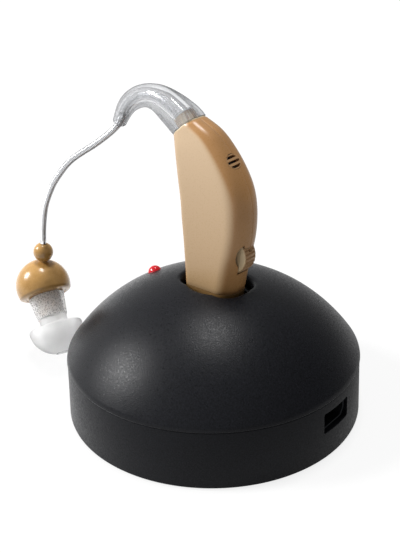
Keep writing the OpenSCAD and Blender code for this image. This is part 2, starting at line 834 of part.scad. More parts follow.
// Frame of the vent in the spine: its Z points out of the case
module vent_place() {
    translate(case_point(vent_place_shares) + [0, vent_y, 0])
        rotate([0, vent_tilt, 0]) rotate([vent_roll, 0, 0]) children();
}

module case_body() {
    difference() {
        case_shell();
        case_hollow();
        wheel_opening();
        vent_place() translate([0, 0, -vent_t]) cylinder(d = vent_d + 2 * fit_gap, h = vent_t + vent_d);
        vent_place() translate([0, 0, -case_wall * 4]) cylinder(r = mic_r - fit_gap, h = case_wall * 4);
        at_top() cylinder(r = nozzle_r + fit_gap, h = case_wall * 8, center = true);
    }
}

module half_space(side) {
    big = 2 * case_h;
    translate([-big / 2, side > 0 ? 0 : -big, 0]) cube([big, big, 2 * big]);
}

module case_left() {
    color("#b98f5a") intersection() {
        case_body();
        half_space(-1);
    }
}

module case_right() {
    color("#b48a56") intersection() {
        case_body();
        half_space(1);
    }
}

module end_cap() {
    levels = [for (i = [0:last_station]) if (inner_line[i][2] < cap_top_z - cap_lip_h) i];
    lip = case_wall + cap_lip_gap;
    color("#9c7440") difference() {
        skin(concat(
            [for (k = cap_foot_shares) level_ring(seat_z + (1 - k) * case_wall, k * case_wall)],
            [for (i = levels) if (i > 0) case_ring(i, 0)],
            [level_ring(cap_top_z, 0), level_ring(cap_top_z, lip), level_ring(cap_top_z + cap_lip_h, lip)],
            [for (s = [1, -1]) level_ring(cap_top_z + s * cap_lip_h, lip + cap_lip_t)],
            [for (k = [len(levels) - 1:-1:1]) case_ring(levels[k], lip)],
            [level_ring(seat_z + cap_floor, lip)]
        ));
        for (side = [-1, 1]) contact_place(side) {
            translate([0, 0, seat_z - cut]) cylinder(r = contact_r + fit_gap, h = cut + contact_head_t);
            translate([0, 0, seat_z]) cylinder(r = contact_stem_r + fit_gap, h = 4 * case_wall);
        }
    }
}

module charge_contacts() {
    color("#d9b45a") for (side = [-1, 1]) contact_place(side) {
        translate([0, 0, seat_z]) cylinder(r = contact_r, h = contact_head_t);
        translate([0, 0, seat_z]) cylinder(r = contact_stem_r, h = cap_floor + contact_stem_r);
    }
}

battery_centre = [case_foot_x, 0, seat_z + battery_h];

module battery() {
    color("#c4c6c9") translate(battery_centre) {
        rod_y(battery_d / 2, -battery_t / 2 + battery_rim, battery_t / 2);
        rod_y(battery_d / 2 - battery_rim, -battery_t / 2, 0);
    }
}

module contact_posts() {
    low = seat_z + cap_floor + contact_stem_r;
    cell_drop = sqrt(pow(battery_d / 2, 2) - pow(contact_spacing / 2, 2));
    color("#c9a24a") for (side = [-1, 1]) contact_place(side)
        translate([0, 0, low])
            cylinder(r = contact_stem_r, h = battery_centre[2] - cell_drop - contact_stem_r - low);
}

module vent_grille() {
    color("#a57c48") vent_place() translate([0, 0, fit_gap - vent_t]) linear_extrude(vent_t) difference() {
        circle(d = vent_d);
        intersection() {
            circle(d = vent_d - 2 * vent_rim);
            for (k = [-1, 0, 1])
                translate([k * vent_slit_spacing, 0]) square([vent_slit_w, vent_d], center = true);
        }
    }
}

module microphone() {
    color("#7d7f83") vent_place() translate([0, 0, -vent_t - mic_l])
        cylinder(r = mic_r - 2 * fit_gap, h = mic_l);
}

module amplifier_board() {
    notch = wheel_r + board_notch_gap;
    color("#1f6a3c") translate([0, inner_board_t / 2, 0]) rotate([90, 0, 0]) linear_extrude(inner_board_t)
        difference() {
            polygon([for (s = inner_board_shares) let (p = case_point(s)) [p[0], p[2]]]);
            translate([wheel_centre[0] - wheel_r - control_leg_gap, wheel_z - notch])
                square([case_foot_w, 2 * notch]);
        }
}

module sound_chip() {
    at = case_point(chip_place_shares);
    color("#1c1c1f") translate(at) for (s = [0, 1]) mirror([0, s, 0])
        translate([-chip_w / 2, inner_board_t / 2, -chip_l / 2]) cube([chip_w, chip_t, chip_l]);
}

module volume_wheel() {
    color("#b58c58") wheel_place() {
        difference() {
            rotate([90, 0, 0]) linear_extrude(wheel_w, center = true) difference() {
                circle(wheel_r);
                for (i = [0:knurl_count - 1])
                    rotate(i * 360 / knurl_count) translate([wheel_r, 0]) circle(knurl_r, $fn = 16);
            }
            rod_y(axle_d / 2 + axle_gap, wheel_w / 2 - wheel_bore_l, wheel_w);
            rotate([0, -index_angle, 0])
                translate([wheel_r - index_size[2], -index_size[1] / 2, -index_size[0] / 2])
                    cube([wheel_r, index_size[1], index_size[0]]);
        }
    }
}

module wheel_axle() {
    color("#c6c8cb") wheel_place()
        rod_y(axle_d / 2, wheel_w / 2 - wheel_bore_l + axle_gap, wheel_w / 2 + control_gap + control_t);
}

module volume_control() {
    near = wheel_w / 2 + control_gap;
    foot = -wheel_r - control_leg_gap - control_leg_l;
    color("#2a3a55") wheel_place() difference() {
        union() {
            rod_y(control_r, near, near + control_t);
            translate([foot, near, -control_leg_w / 2]) cube([-foot, control_t, control_leg_w]);
            translate([foot, inner_board_t / 2, -control_leg_w / 2])
                cube([control_leg_l, near + control_t - inner_board_t / 2, control_leg_w]);
        }
        rod_y(axle_d / 2, 0, wheel_w);
        translate([control_flat, 0, -control_r]) cube([control_r, wheel_w, 2 * control_r]);
    }
}

// Ear hook

function hook_point(s) = top_mid + [-s[0] * hook_reach, 0, (s[1] - hook_line_shares[0][1]) * hook_rise];
hook_line = smooth([for (s = hook_line_shares) hook_point(s)], hook_steps / 2);
hook_r_line = smooth([for (s = hook_width_shares) s * hook_tip_d / 2], hook_steps / 2);
hook_square_line = smooth(hook_square_shares, hook_steps / 2);

// A square with round corners, from a round one (share 1) to a boxy one
function hook_outline(r, share, n = 16) =
    let (c = r * share, h = r - c)
    [
        for (k = [0:n - 1])
            let (t = 360 * (k + 0.5) / n)
            [sign(cos(t)) * h + c * cos(t), sign(sin(t)) * h + c * sin(t)]
    ];

function hook_ring(i, outline) =
    let (
        m = len(hook_line) - 1,
        d = i == 0 ? [-sin(top_tilt), 0, cos(top_tilt)] : unit(hook_line[min(i + 1, m)] - hook_line[i - 1]),
        u = cross([0, 1, 0], d)
    )
    [for (p = outline) hook_line[i] + u * p[0] + [0, p[1], 0]];

module ear_hook() {
    m = len(hook_line) - 1;
    color([0.85, 0.88, 0.9, 0.6]) difference() {
        skin(concat(
            [for (i = [0:m]) hook_ring(i, hook_outline(hook_r_line[i], hook_square_line[i]))],
            [for (i = [m:-1:channel_start_step]) hook_ring(i, hook_outline(hook_channel_r, 1))],
            [hook_ring(channel_start_step, hook_outline(hook_channel_r * channel_end_share, 1))]
        ));
        at_top() translate([0, 0, -cut]) cylinder(r = nozzle_r + fit_gap, h = cut + hook_bore_l);
    }
}

module hook_nozzle() {
    low = -case_top_wall - nozzle_flange_t;
    color("#8f9195") at_top() difference() {
        union() {
            translate([0, 0, low]) cylinder(r = nozzle_flange_r, h = nozzle_flange_t);
            translate([0, 0, low]) cylinder(r = nozzle_r, h = nozzle_out_l - low);
        }
        translate([0, 0, low - cut]) cylinder(r = nozzle_bore_r, h = nozzle_out_l - low + 2 * cut);
    }
}

module inner_wire() {
    m = len(hook_line) - 1;
    start = top_mid - [-sin(top_tilt), 0, cos(top_tilt)] * wire_tail_l;
    color("#c8cacc") tube(concat([start], [for (i = [0:m - lead_entry_steps]) hook_line[i]]), inner_wire_d);
}

// Lead and earpiece

module sound_lead() {
    color("#b9bcc0") tube(smooth(lead_route, lead_steps), lead_d, lead_sides);
}

// Frame of the bead: its origin is the receiver's centre and its Z points to the bead
module bead_frame() translate(receiver_centre) rotate([0, bead_lean, bead_heading]) children();

// Frame of the receiver: its Z points out of the ear tip
module receiver_frame()
    translate(receiver_centre) rotate([0, 180 - receiver_lean, receiver_heading]) children();

module lead_bead() {
    inner_top = sqrt(pow(receiver_r - receiver_wall, 2) - pow(bead_flange_r, 2)) - bead_gap;
    color("#b5853f") bead_frame() {
        difference() {
            translate([0, 0, bead_reach]) sphere(bead_r);
            translate([0, 0, bead_reach + sqrt(pow(bead_r, 2) - pow(lead_d / 2, 2))])
                cylinder(r = bead_r, h = bead_r);
        }
        translate([0, 0, inner_top - bead_flange_t])
            cylinder(r = bead_stem_r, h = bead_reach - inner_top + bead_flange_t);
        translate([0, 0, inner_top - bead_flange_t]) cylinder(r = bead_flange_r, h = bead_flange_t);
    }
}

module receiver_shell() {
    color("#bd8d49") difference() {
        receiver_frame() rotate_extrude() difference() {
            intersection() {
                circle(receiver_r, $fn = 96);
                translate([0, -receiver_r]) square([receiver_r, receiver_r + receiver_skirt]);
            }
            circle(receiver_r - receiver_wall, $fn = 96);
        }
        bead_frame() cylinder(r = bead_stem_r + fit_gap, h = bead_reach);
    }
}

rim_r = sqrt(pow(receiver_r - receiver_wall, 2) - pow(receiver_skirt, 2));

module receiver_spout() {
    color("#c39a5c") receiver_frame() translate([0, 0, receiver_skirt - spout_plate_t]) difference() {
        union() {
            cylinder(r = rim_r - fit_gap, h = spout_plate_t);
            cylinder(r = spout_r, h = spout_plate_t + spout_l);
        }
        translate([0, 0, -cut]) cylinder(r = spout_r - spout_wall, h = spout_plate_t + spout_l + 2 * cut);
    }
}

module receiver_driver() {
    color("#a9abae") receiver_frame() {
        translate([0, 0, receiver_skirt - spout_plate_t - driver_t]) cylinder(r = driver_r, h = driver_t);
    }
}

module wax_filter() {
    color("#e6e6e2") receiver_frame() translate([0, 0, receiver_skirt + spout_l - filter_t])
        cylinder(r = spout_r - spout_wall, h = filter_t);
}

module ear_tip() {
    start = receiver_skirt + sleeve_gap;
    neck_z = start + sleeve_l;
    rim_z = neck_z + neck_l;
    mushroom_r = mushroom_d / 2;
    color([0.93, 0.94, 0.95, 0.75]) receiver_frame() rotate_extrude() difference() {
        union() {
            polygon([[0, start], [sleeve_d / 2, start], [sleeve_end_d / 2, neck_z], [0, neck_z]]);
            translate([0, start]) square([neck_d / 2, neck_z - start + neck_l + mushroom_r / 2]);
            intersection() {
                translate([0, rim_z]) circle(mushroom_r, $fn = 96);
                translate([0, rim_z]) square([mushroom_r, mushroom_r * mushroom_depth_share]);
            }
        }
        difference() {
            intersection() {
                translate([0, rim_z]) circle(mushroom_r - skirt_wall, $fn = 96);
                translate([0, rim_z - cut]) square([mushroom_r, mushroom_r]);
            }
            translate([0, rim_z - cut]) square([neck_d / 2, 2 * mushroom_r]);
        }
        translate([0, start - cut]) square([tip_bore_r, 2 * mushroom_d]);
        translate([0, start - cut])
            square([spout_r + sleeve_bore_gap, receiver_skirt + spout_l + sleeve_bore_gap - start + cut]);
    }
}

non_slip_pad();
charger_tray();
tray_screws();
charger_dome();
charger_board();
board_screws();
usb_socket_shell();
usb_socket_tongue();
charge_led();
led_leads();
cradle_pocket();
pocket_screws();
pin_barrels();
contact_pin_left();
contact_pin_right();
pin_spring_left();
pin_spring_right();
contact_wires();
case_left();
case_right();
end_cap();
vent_grille();
microphone();
amplifier_board();
sound_chip();
volume_control();
wheel_axle();
volume_wheel();
battery();
charge_contacts();
contact_posts();
hook_nozzle();
ear_hook();
inner_wire();
sound_lead();
lead_bead();
receiver_shell();
receiver_spout();
receiver_driver();
wax_filter();
ear_tip();
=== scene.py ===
"""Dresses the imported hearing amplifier, its charging base and its earpiece, and sets the studio around them.

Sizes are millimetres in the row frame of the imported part; meshes are written in metres.
"""

import logging
import math
from dataclasses import dataclass
from enum import Enum
from functools import cache

import bmesh
import bpy
import numpy as np
from mathutils import Matrix, Vector


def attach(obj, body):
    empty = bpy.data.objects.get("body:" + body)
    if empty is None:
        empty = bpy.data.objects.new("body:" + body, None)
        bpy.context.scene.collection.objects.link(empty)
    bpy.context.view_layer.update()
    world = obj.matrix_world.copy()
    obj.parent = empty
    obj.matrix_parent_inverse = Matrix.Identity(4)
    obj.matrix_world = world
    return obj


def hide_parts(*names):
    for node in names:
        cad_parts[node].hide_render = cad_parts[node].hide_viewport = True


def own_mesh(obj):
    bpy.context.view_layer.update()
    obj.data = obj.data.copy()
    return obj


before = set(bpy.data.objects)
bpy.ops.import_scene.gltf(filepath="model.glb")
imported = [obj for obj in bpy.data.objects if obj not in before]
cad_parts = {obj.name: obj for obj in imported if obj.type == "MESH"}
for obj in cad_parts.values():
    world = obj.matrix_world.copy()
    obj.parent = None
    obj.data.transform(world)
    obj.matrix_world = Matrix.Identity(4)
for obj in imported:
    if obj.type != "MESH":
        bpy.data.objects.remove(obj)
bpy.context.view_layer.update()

LOG = logging.getLogger("hearing_amplifier")
MM = 0.001
WELD_MM = 0.002
CRISP = 32.0  # edges that turn by more than this many degrees stay crisp
MOULD_CRISP, KNURL_CRISP, WIRE_CRISP = 50.0, 40.0, 80.0  # the same for the base, the wheel and wound wire
RIM_SIDES, BROAD_SIDES, ROUND_SIDES, SMALL_SIDES, FINE_SIDES = 240, 128, 96, 64, 32  # sides of round shapes
BEVEL = ((1.0, 0.0), (0.3, 0.3), (0.0, 1.0))  # inset and height of a small rounded edge, as shares of its size
Y_AXIS = np.array([0.0, 1.0, 0.0])
Z_AXIS = np.array([0.0, 0.0, 1.0])
WHEEL_CENTRE = (6.0, 0.0, 34.9)  # the case opens where the volume wheel turns
Colour = tuple[float, float, float]
Triple = tuple[float, float, float]
Pair = tuple[float, float]
Pairs = tuple[Pair, ...]
Shares = tuple[float, ...]
Stops = tuple[tuple[float, Colour], ...]
Piece = bpy.types.Object
Socket = bpy.types.NodeSocket


class Body(Enum):
    """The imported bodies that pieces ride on."""

    BASE = "base"
    AMPLIFIER = "amplifier"
    WHEEL = "wheel"
    RECEIVER = "receiver"
    TIP = "tip"


class Side(Enum):
    """Left and right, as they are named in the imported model."""

    LEFT = -1
    RIGHT = 1


# Curves and outlines


def unit(vector: np.ndarray) -> np.ndarray:
    """The vector at length one."""
    return vector / np.linalg.norm(vector)


def angles(count: int) -> np.ndarray:
    """Even angles round a full turn."""
    return np.linspace(0, 2 * math.pi, count, endpoint=False)


def smooth(values: list, steps: int) -> np.ndarray:
    """Runs a smooth curve through a list of values.

    Args:
        values: The numbers or points to pass through.
        steps: How many steps lie between two of them.

    Returns:
        The finer list, whose ends continue straight.
    """
    v = np.array(values, float)
    v = np.concatenate([[2 * v[0] - v[1]], v, [2 * v[-1] - v[-2]]])
    out = []
    for a, b, c, d in zip(v, v[1:], v[2:], v[3:]):
        for t in np.arange(steps) / steps:
            bend = (2 * a - 5 * b + 4 * c - d) * t**2 + (3 * b - a - 3 * c + d) * t**3
            out.append(0.5 * (2 * b + (c - a) * t + bend))
    return np.array(out + [v[-2]])


def arc(centre: Pair, radius: float, start: float, end: float, steps: int) -> np.ndarray:
    """Points of an arc in a plane, from one angle in degrees to another."""
    turn = np.radians(np.linspace(start, end, steps + 1))
    return np.array(centre) + radius * np.stack([np.cos(turn), np.sin(turn)], 1)


def fillet(corners: list[Triple], steps: int = 5) -> np.ndarray:
    """A closed outline whose corners are rounded.

    Args:
        corners: The corner points, each with its radius.
        steps: Steps in each round.

    Returns:
        The outline's points.
    """
    out = []
    for i, (x, y, radius) in enumerate(corners):
        here = np.array((x, y))
        if radius <= 0:
            out.append(here)
            continue
        a = unit(np.array(corners[i - 1][:2]) - here)
        b = unit(np.array(corners[(i + 1) % len(corners)][:2]) - here)
        half = math.acos(float(np.clip(a @ b, -1, 1))) / 2
        centre = here + unit(a + b) * radius / math.sin(half)
        first, last = (here + way * radius / math.tan(half) - centre for way in (a, b))
        start = math.atan2(first[1], first[0])
        turn = (math.atan2(last[1], last[0]) - start + math.pi) % (2 * math.pi) - math.pi
        out += list(arc(centre, radius, math.degrees(start), math.degrees(start + turn), steps))
    return np.array(out)


def rounded_rectangle(length: float, width: float, corner: float, steps: int = 8) -> np.ndarray:
    """Outline of a rectangle with round corners about the origin."""
    x, y = length / 2, width / 2
    return fillet([(x, -y, corner), (x, y, corner), (-x, y, corner), (-x, -y, corner)], steps)


def level(flat: np.ndarray, height: float | np.ndarray) -> np.ndarray:
    """The first two coordinates of points, with one height for all or one for each."""
    return np.column_stack([flat[:, :2], np.broadcast_to(height, len(flat))])


def spanned(middle: np.ndarray, u: np.ndarray, v: np.ndarray, outline: np.ndarray) -> np.ndarray:
    """An outline laid out along two directions from a point."""
    return middle + outline[:, :1] * u + outline[:, 1:] * v


def shifted(x: float, y: float, z: float) -> Matrix:
    """A move by so many millimetres."""
    return Matrix.Translation(Vector((x, y, z)))


def turned(degrees: float, axis: str) -> Matrix:
    """A turn about one axis through the origin."""
    return Matrix.Rotation(math.radians(degrees), 4, axis)


def placed(points: np.ndarray, place: Matrix) -> np.ndarray:
    """Points moved by a matrix."""
    m = np.array(place)
    return points @ m[:3, :3].T + m[:3, 3]


# Meshes


def make_piece(name: str, points: np.ndarray, faces: list, sharp: float = CRISP) -> Piece:
    """Makes one mesh piece, welded, with its normals out and its smooth edges smooth.

    Args:
        name: The piece's name.
        points: Its points in millimetres.
        faces: Its faces as lists of point numbers.
        sharp: Edges over this many degrees stay crisp.

    Returns:
        The new object, linked into the scene.
    """
    mesh = bpy.data.meshes.new(name)
    mesh.from_pydata((np.asarray(points) * MM).tolist(), [], faces)
    edit = bmesh.new()
    edit.from_mesh(mesh)
    bmesh.ops.remove_doubles(edit, verts=edit.verts, dist=WELD_MM * MM)
    bmesh.ops.dissolve_degenerate(edit, dist=WELD_MM * MM / 2, edges=edit.edges)
    bmesh.ops.recalc_face_normals(edit, faces=edit.faces)
    return finished(name, edit, mesh, sharp)


def finished(name: str, edit: bmesh.types.BMesh, mesh: bpy.types.Mesh, sharp: float = CRISP) -> Piece:
    """Turns an edited mesh into an object of the scene.

    Args:
        name: The object's name.
        edit: The edited mesh, which is used up.
        mesh: The mesh that takes its shape.
        sharp: Edges over this many degrees stay crisp.

    Returns:
        The object.
    """
    edit.to_mesh(mesh)
    edit.free()
    piece = bpy.data.objects.new(name, mesh)
    bpy.context.scene.collection.objects.link(piece)
    soften(piece, sharp)
    return piece


def soften(piece: Piece, sharp: float) -> None:
    """Shades a piece smooth, but for its crisp edges.

    Args:
        piece: The mesh object.
        sharp: Edges over this many degrees stay crisp.
    """
    mesh = piece.data
    mesh.polygons.foreach_set("use_smooth", [True] * len(mesh.polygons))
    mesh.set_sharp_from_angle(angle=math.radians(sharp))


def loft(name: str, rings: list[np.ndarray], loop: bool = False, sharp: float = CRISP) -> Piece:
    """Skins over rings of equally many points.

    Args:
        name: The piece's name.
        rings: The rings, in order.
        loop: Whether the last ring joins the first, in place of two caps.
        sharp: Edges over this many degrees stay crisp.

    Returns:
        The closed piece.
    """
    count, rows = len(rings[0]), len(rings)
    faces = []
    for i in range(rows if loop else rows - 1):
        a, b = i * count, (i + 1) % rows * count
        faces += [(a + j, a + (j + 1) % count, b + (j + 1) % count, b + j) for j in range(count)]
    if not loop:
        faces += [tuple(range(count))[::-1], tuple(range((rows - 1) * count, rows * count))]
    return make_piece(name, np.vstack(rings), faces, sharp)


def revolve(name: str, profile: np.ndarray, place: Matrix, sides: int = ROUND_SIDES, sharp: float = CRISP) -> Piece:
    """Turns a closed outline of radius and height about the Z axis.

    Args:
        name: The piece's name.
        profile: The outline's points, radius first.
        place: Where the turned piece goes, in millimetres.
        sides: Number of sides.
        sharp: Edges over this many degrees stay crisp.

    Returns:
        The turned piece.
    """
    turn = angles(sides)
    rings = [np.stack([r * np.cos(turn), r * np.sin(turn), np.full(sides, z)], 1) for r, z in profile]
    return loft(name, [placed(r, place) for r in rings], loop=True, sharp=sharp)


def plug(radius: float, low: float, high: float, place: Matrix, sides: int = ROUND_SIDES, corner: float = 0.0) -> Piece:
    """A cylinder that cuts a round hole from one height to another, its two edges rounded by a corner."""
    outline = fillet([(0, low, 0), (radius, low, corner), (radius, high, corner), (0, high, 0)])
    return revolve("plug", outline, place, sides)


def prism(name: str, outline: np.ndarray, low: float, high: float, place: Matrix) -> Piece:
    """A straight block over an outline, from one height to another, moved to its place."""
    return loft(name, [placed(level(outline, z), place) for z in (low, high)])


def cut_away(piece: Piece, cutters: list[Piece], sharp: float = CRISP) -> None:
    """Cuts each cutter out of a piece and removes the cutters.

    Args:
        piece: The piece that is cut.
        cutters: The closed shapes to take away.
        sharp: Edges over this many degrees stay crisp.
    """
    for cutter in cutters:
        step = piece.modifiers.new("cut", "BOOLEAN")
        step.operation = "DIFFERENCE"
        step.solver = "EXACT"
        step.object = cutter
    graph = bpy.context.evaluated_depsgraph_get()
    mesh = bpy.data.meshes.new_from_object(piece.evaluated_get(graph), depsgraph=graph)
    piece.modifiers.clear()
    old, name = piece.data, piece.data.name
    piece.data = mesh
    bpy.data.meshes.remove(old)
    mesh.name = name
    for cutter in cutters:
        bpy.data.objects.remove(cutter)
    soften(piece, sharp)


def joined(name: str, parts: list[Piece]) -> Piece:
    """One piece made of several closed shells.

    Args:
        name: The new piece's name.
        parts: The shells, which are used up.

    Returns:
        The joined piece.
    """
    edit = bmesh.new()
    for part in parts:
        edit.from_mesh(part.data)
        bpy.data.objects.remove(part)
    return finished(name, edit, bpy.data.meshes.new(name))


# Finishes


def linear(colour: Colour) -> tuple[float, float, float, float]:
    """A screen colour, each part from 0 to 255, as the shader's own value."""
    parts = [c / 255 for c in colour]
    return (*[c / 12.92 if c <= 0.04045 else ((c + 0.055) / 1.055) ** 2.4 for c in parts], 1.0)


def lifted(colour: Colour, by: float) -> Colour:
    """A screen colour made brighter, or darker below nought."""
    return tuple(min(max(c + by, 0), 255) for c in colour)


NOISE_SPAN = (0.3, 0.7)  # most of a noise's values lie between these
SHEEN_FACING = 0.8  # painted sheen covers a face that looks at least this much sideways
SHEEN_TO_SHADE_CLIMB = (26.0, 56.0)  # the flat sides' painted sheen turns to painted shade towards the foot between these heights in millimetres


def shades(dark: Colour, light: Colour) -> Stops:
    """Two colours over a noise's span."""
    return tuple(zip(NOISE_SPAN, (dark, light)))


class Graph:
    """A node tree, with a short way to add and join its nodes."""

    def __init__(self, tree: bpy.types.NodeTree) -> None:
        """Takes over a tree and empties it."""
        self.tree = tree
        tree.nodes.clear()

    def add(self, kind: str, operation: str = "", **inputs: object) -> bpy.types.Node:
        """Adds a node.

        Args:
            kind: Its type, without the word that all types begin with.
            operation: What it does, if it does one of several things.
            inputs: What its sockets get, as in feed.

        Returns:
            The node.
        """
        node = self.tree.nodes.new("ShaderNode" + kind)
        if operation:
            node.operation = operation
        self.feed(node, **inputs)
        return node

    def feed(self, node: bpy.types.Node, **inputs: object) -> None:
        """Joins or sets a node's sockets.

        Args:
            node: The node.
            inputs: Values or other nodes' sockets, by socket name with underlines for spaces, or _ and a number.
        """
        for name, value in inputs.items():
            socket = node.inputs[int(name[1:]) if name[0] == "_" else name.replace("_", " ")]
            if isinstance(value, Socket):
                self.tree.links.new(value, socket)
            else:
                socket.default_value = value


class Weave(Graph):
    """One material's node tree, with the steps that the finishes share."""

    def __init__(self, name: str) -> None:
        """Starts a material with one shader.

        Args:
            name: The material's name.
        """
        self.material = bpy.data.materials.new(name)
        self.material.use_nodes = True
        super().__init__(self.material.node_tree)
        self.shader = self.add("BsdfPrincipled")
        self.out = self.add("OutputMaterial", Surface=self.shader.outputs["BSDF"])
        self.where = self.add("TexCoord").outputs

    def noise(self, size: float, detail: float = 3, stretch: Triple = (1, 1, 1)) -> Socket:
        """Noise with a grain of a size in millimetres, finer layers on top and a stretch along each axis."""
        scale = self.add("Mapping", Vector=self.where["Object"], Scale=[1 / (size * MM * s) for s in stretch])
        return self.add("TexNoise", Vector=scale.outputs["Vector"], Scale=1.0, Detail=detail).outputs["Fac"]

    def ramp(self, source: Socket, *stops: tuple[float, Colour]) -> Socket:
        """Turns a value into colour.

        Args:
            source: The value.
            stops: Positions from 0 to 1, each with a screen colour.

        Returns:
            The colour.
        """
        node = self.add("ValToRGB", Fac=source)
        while len(node.color_ramp.elements) < len(stops):
            node.color_ramp.elements.new(0.5)
        for element, (at, colour) in zip(node.color_ramp.elements, stops):
            element.position = at
            element.color = linear(colour)
        return node.outputs["Color"]

    def spread(self, source: Socket, low: float, high: float) -> Socket:
        """A noise's value between two limits.

        Args:
            source: The noise's value.
            low: What its low values become.
            high: What its high values become.

        Returns:
            The new value.
        """
        first, last = NOISE_SPAN
        span = {"From_Min": first, "From_Max": last, "To_Min": low, "To_Max": high}
        return self.add("MapRange", Value=source, **span).outputs["Result"]

    def bump(self, source: Socket, depth: float, strength: float) -> Socket:
        """The surface's direction when a noise raises it by a depth in millimetres."""
        return self.add("Bump", Strength=strength, Distance=depth * MM, Height=source).outputs["Normal"]

    def paint_sheen_on_flats(self, tone: Socket, low: Colour, high: Colour) -> Socket:
        """Paints a sheen on the two flat sides of a moulding, a painted reflection that makes them paler than its
        curves.

        Args:
            tone: The curves' colour.
            low: The flat sides' colour near the foot, darker there as painted shade.
            high: Their colour near the top, where the painted sheen is palest.

        Returns:
            The moulding's colour.
        """
        # Painted sheen on faces that look sideways, fading to painted shade towards the foot.
        facing = self.add("SeparateXYZ", Vector=self.where["Normal"])
        either = self.add("Math", "ABSOLUTE", Value=facing.outputs["Y"])
        blend = self.add("MapRange", Value=either.outputs["Value"], From_Min=SHEEN_FACING)
        blend.interpolation_type = "SMOOTHSTEP"
        height = self.add("SeparateXYZ", Vector=self.where["Object"]).outputs["Z"]
        foot, top = SHEEN_TO_SHADE_CLIMB
        climb = self.add("MapRange", Value=height, From_Min=foot * MM, From_Max=top * MM)
        side = self.ramp(climb.outputs["Result"], (0, low), (1, high))
        return self.add("MixRGB", Fac=blend.outputs["Result"], Color1=tone, Color2=side).outputs["Color"]

    def edge_gloss(self, colour: Colour, power: float, roughness: float = 0.15) -> None:
        """Mixes in a grey gloss that grows towards a clear wall's edges.

        Args:
            colour: The gloss's colour.
            power: How closely it keeps to the edges.
            roughness: How blurred it is.
        """
        weight = self.add("LayerWeight").outputs["Facing"]
        grow = self.add("Math", "POWER", _0=weight, _1=power).outputs["Value"]
        gloss = self.add("BsdfGlossy", Color=linear(colour), Roughness=roughness).outputs["BSDF"]
        mix = self.add("MixShader", Fac=grow, _1=self.shader.outputs["BSDF"], _2=gloss)
        self.feed(self.out, Surface=mix.outputs["Shader"])

    def set(self, **values: object) -> None:
        """Sets or joins the shader's own sockets, as in feed."""
        self.feed(self.shader, **values)


@dataclass(frozen=True)
class Finish:
    """What a piece looks like: its colour, and the grain in its gloss and surface, with sizes in millimetres."""

    name: str
    colour: Colour
    roughness: float = 0.4
    uneven: Pair = (0.06, 0.06)
    grain: float = 0.25
    detail: float = 3
    stretch: Triple = (1, 1, 1)
    gloss_grain: float = 0
    tone_grain: float = 0
    grain_depth: float = 0.006
    relief: float = 0.6
    # painted sheen on the flat sides: its colours near the foot and near the top
    painted_sheen: tuple[Colour, Colour] | None = None
    edge: Colour | None = None
    edge_power: float = 2.4

    def stops(self) -> Stops:
        """The colours along the noise that the colour follows."""
        raise NotImplementedError

    def sockets(self) -> dict[str, object]:
        """What only this finish sets."""
        return {}

    def material(self) -> bpy.types.Material:
        """Makes the finish's node tree; gloss and colour follow the grain, unless they have a size of their own.

        Returns:
            The material.
        """
        w, (down, up) = Weave(self.name), self.uneven
        fine = w.noise(self.grain, self.detail, self.stretch)
        gloss, tone = (w.noise(size) if size else fine for size in (self.gloss_grain, self.tone_grain))
        colour = w.ramp(tone, *self.stops())
        # the colour carries the painted sheen and painted shade of the flat sides, where the finish has them
        w.set(
            Base_Color=w.paint_sheen_on_flats(colour, *self.painted_sheen) if self.painted_sheen else colour,
            Roughness=w.spread(gloss, self.roughness - down, self.roughness + up),
            **self.sockets(),
        )
        if self.relief:
            w.set(Normal=w.bump(fine, self.grain_depth, self.relief))
        if self.edge:
            w.edge_gloss(self.edge, self.edge_power)
        return w.material


@dataclass(frozen=True)
class MouldedPlastic(Finish):
    """Injection-moulded plastic: a little colour drift, and a fine grain in its gloss."""

    tone_grain: float = 6
    drift: float = 5
    gloss: float = 0.5
    coat: float = 0.0
    coat_roughness: float = 0.12

    def stops(self) -> Stops:
        """A little darker and a little lighter than the colour."""
        return shades(lifted(self.colour, -self.drift), lifted(self.colour, self.drift))

    def sockets(self) -> dict[str, object]:
        """Its gloss and its clear coat."""
        return {"Specular IOR Level": self.gloss, "Coat Weight": self.coat, "Coat Roughness": self.coat_roughness}


@dataclass(frozen=True)
class TexturedShell(Finish):
    """The base's spark-eroded charcoal skin: dark, with bright specks where the lamps catch its grain."""

    roughness: float = 0.35
    uneven: Pair = (0.1, 0.1)
    grain: float = 0.23
    detail: float = 4
    gloss_grain: float = 0.391
    grain_depth: float = 0.07
    relief: float = 0.5
    gloss: float = 0.13
    fleck: Colour = (27, 28, 33)
    fleck_span: Pair = (0.35, 0.75)

    def stops(self) -> Stops:
        """From the colour to its flecks."""
        return tuple(zip(self.fleck_span, (self.colour, self.fleck)))

    def sockets(self) -> dict[str, object]:
        """Its low gloss."""
        return {"Specular IOR Level": self.gloss}


@dataclass(frozen=True)
class Metal(Finish):
    """Turned, drawn or stamped metal with faint tool marks."""

    roughness: float = 0.28
    uneven: Pair = (0.08, 0.1)
    grain: float = 0.3
    stretch: Triple = (1, 1, 8)
    grain_depth: float = 0.004
    relief: float = 0.4
    edge_tint: float = 1.0
    metallic: float = 1.0
    dark: float = 0.86

    def stops(self) -> Stops:
        """Darker in the marks."""
        return shades(tuple(c * self.dark for c in self.colour), self.colour)

    def sockets(self) -> dict[str, object]:
        """How metallic it is, and its tint at grazing angles."""
        return {"Metallic": self.metallic, "Specular Tint": (self.edge_tint, self.edge_tint, self.edge_tint, 1.0)}


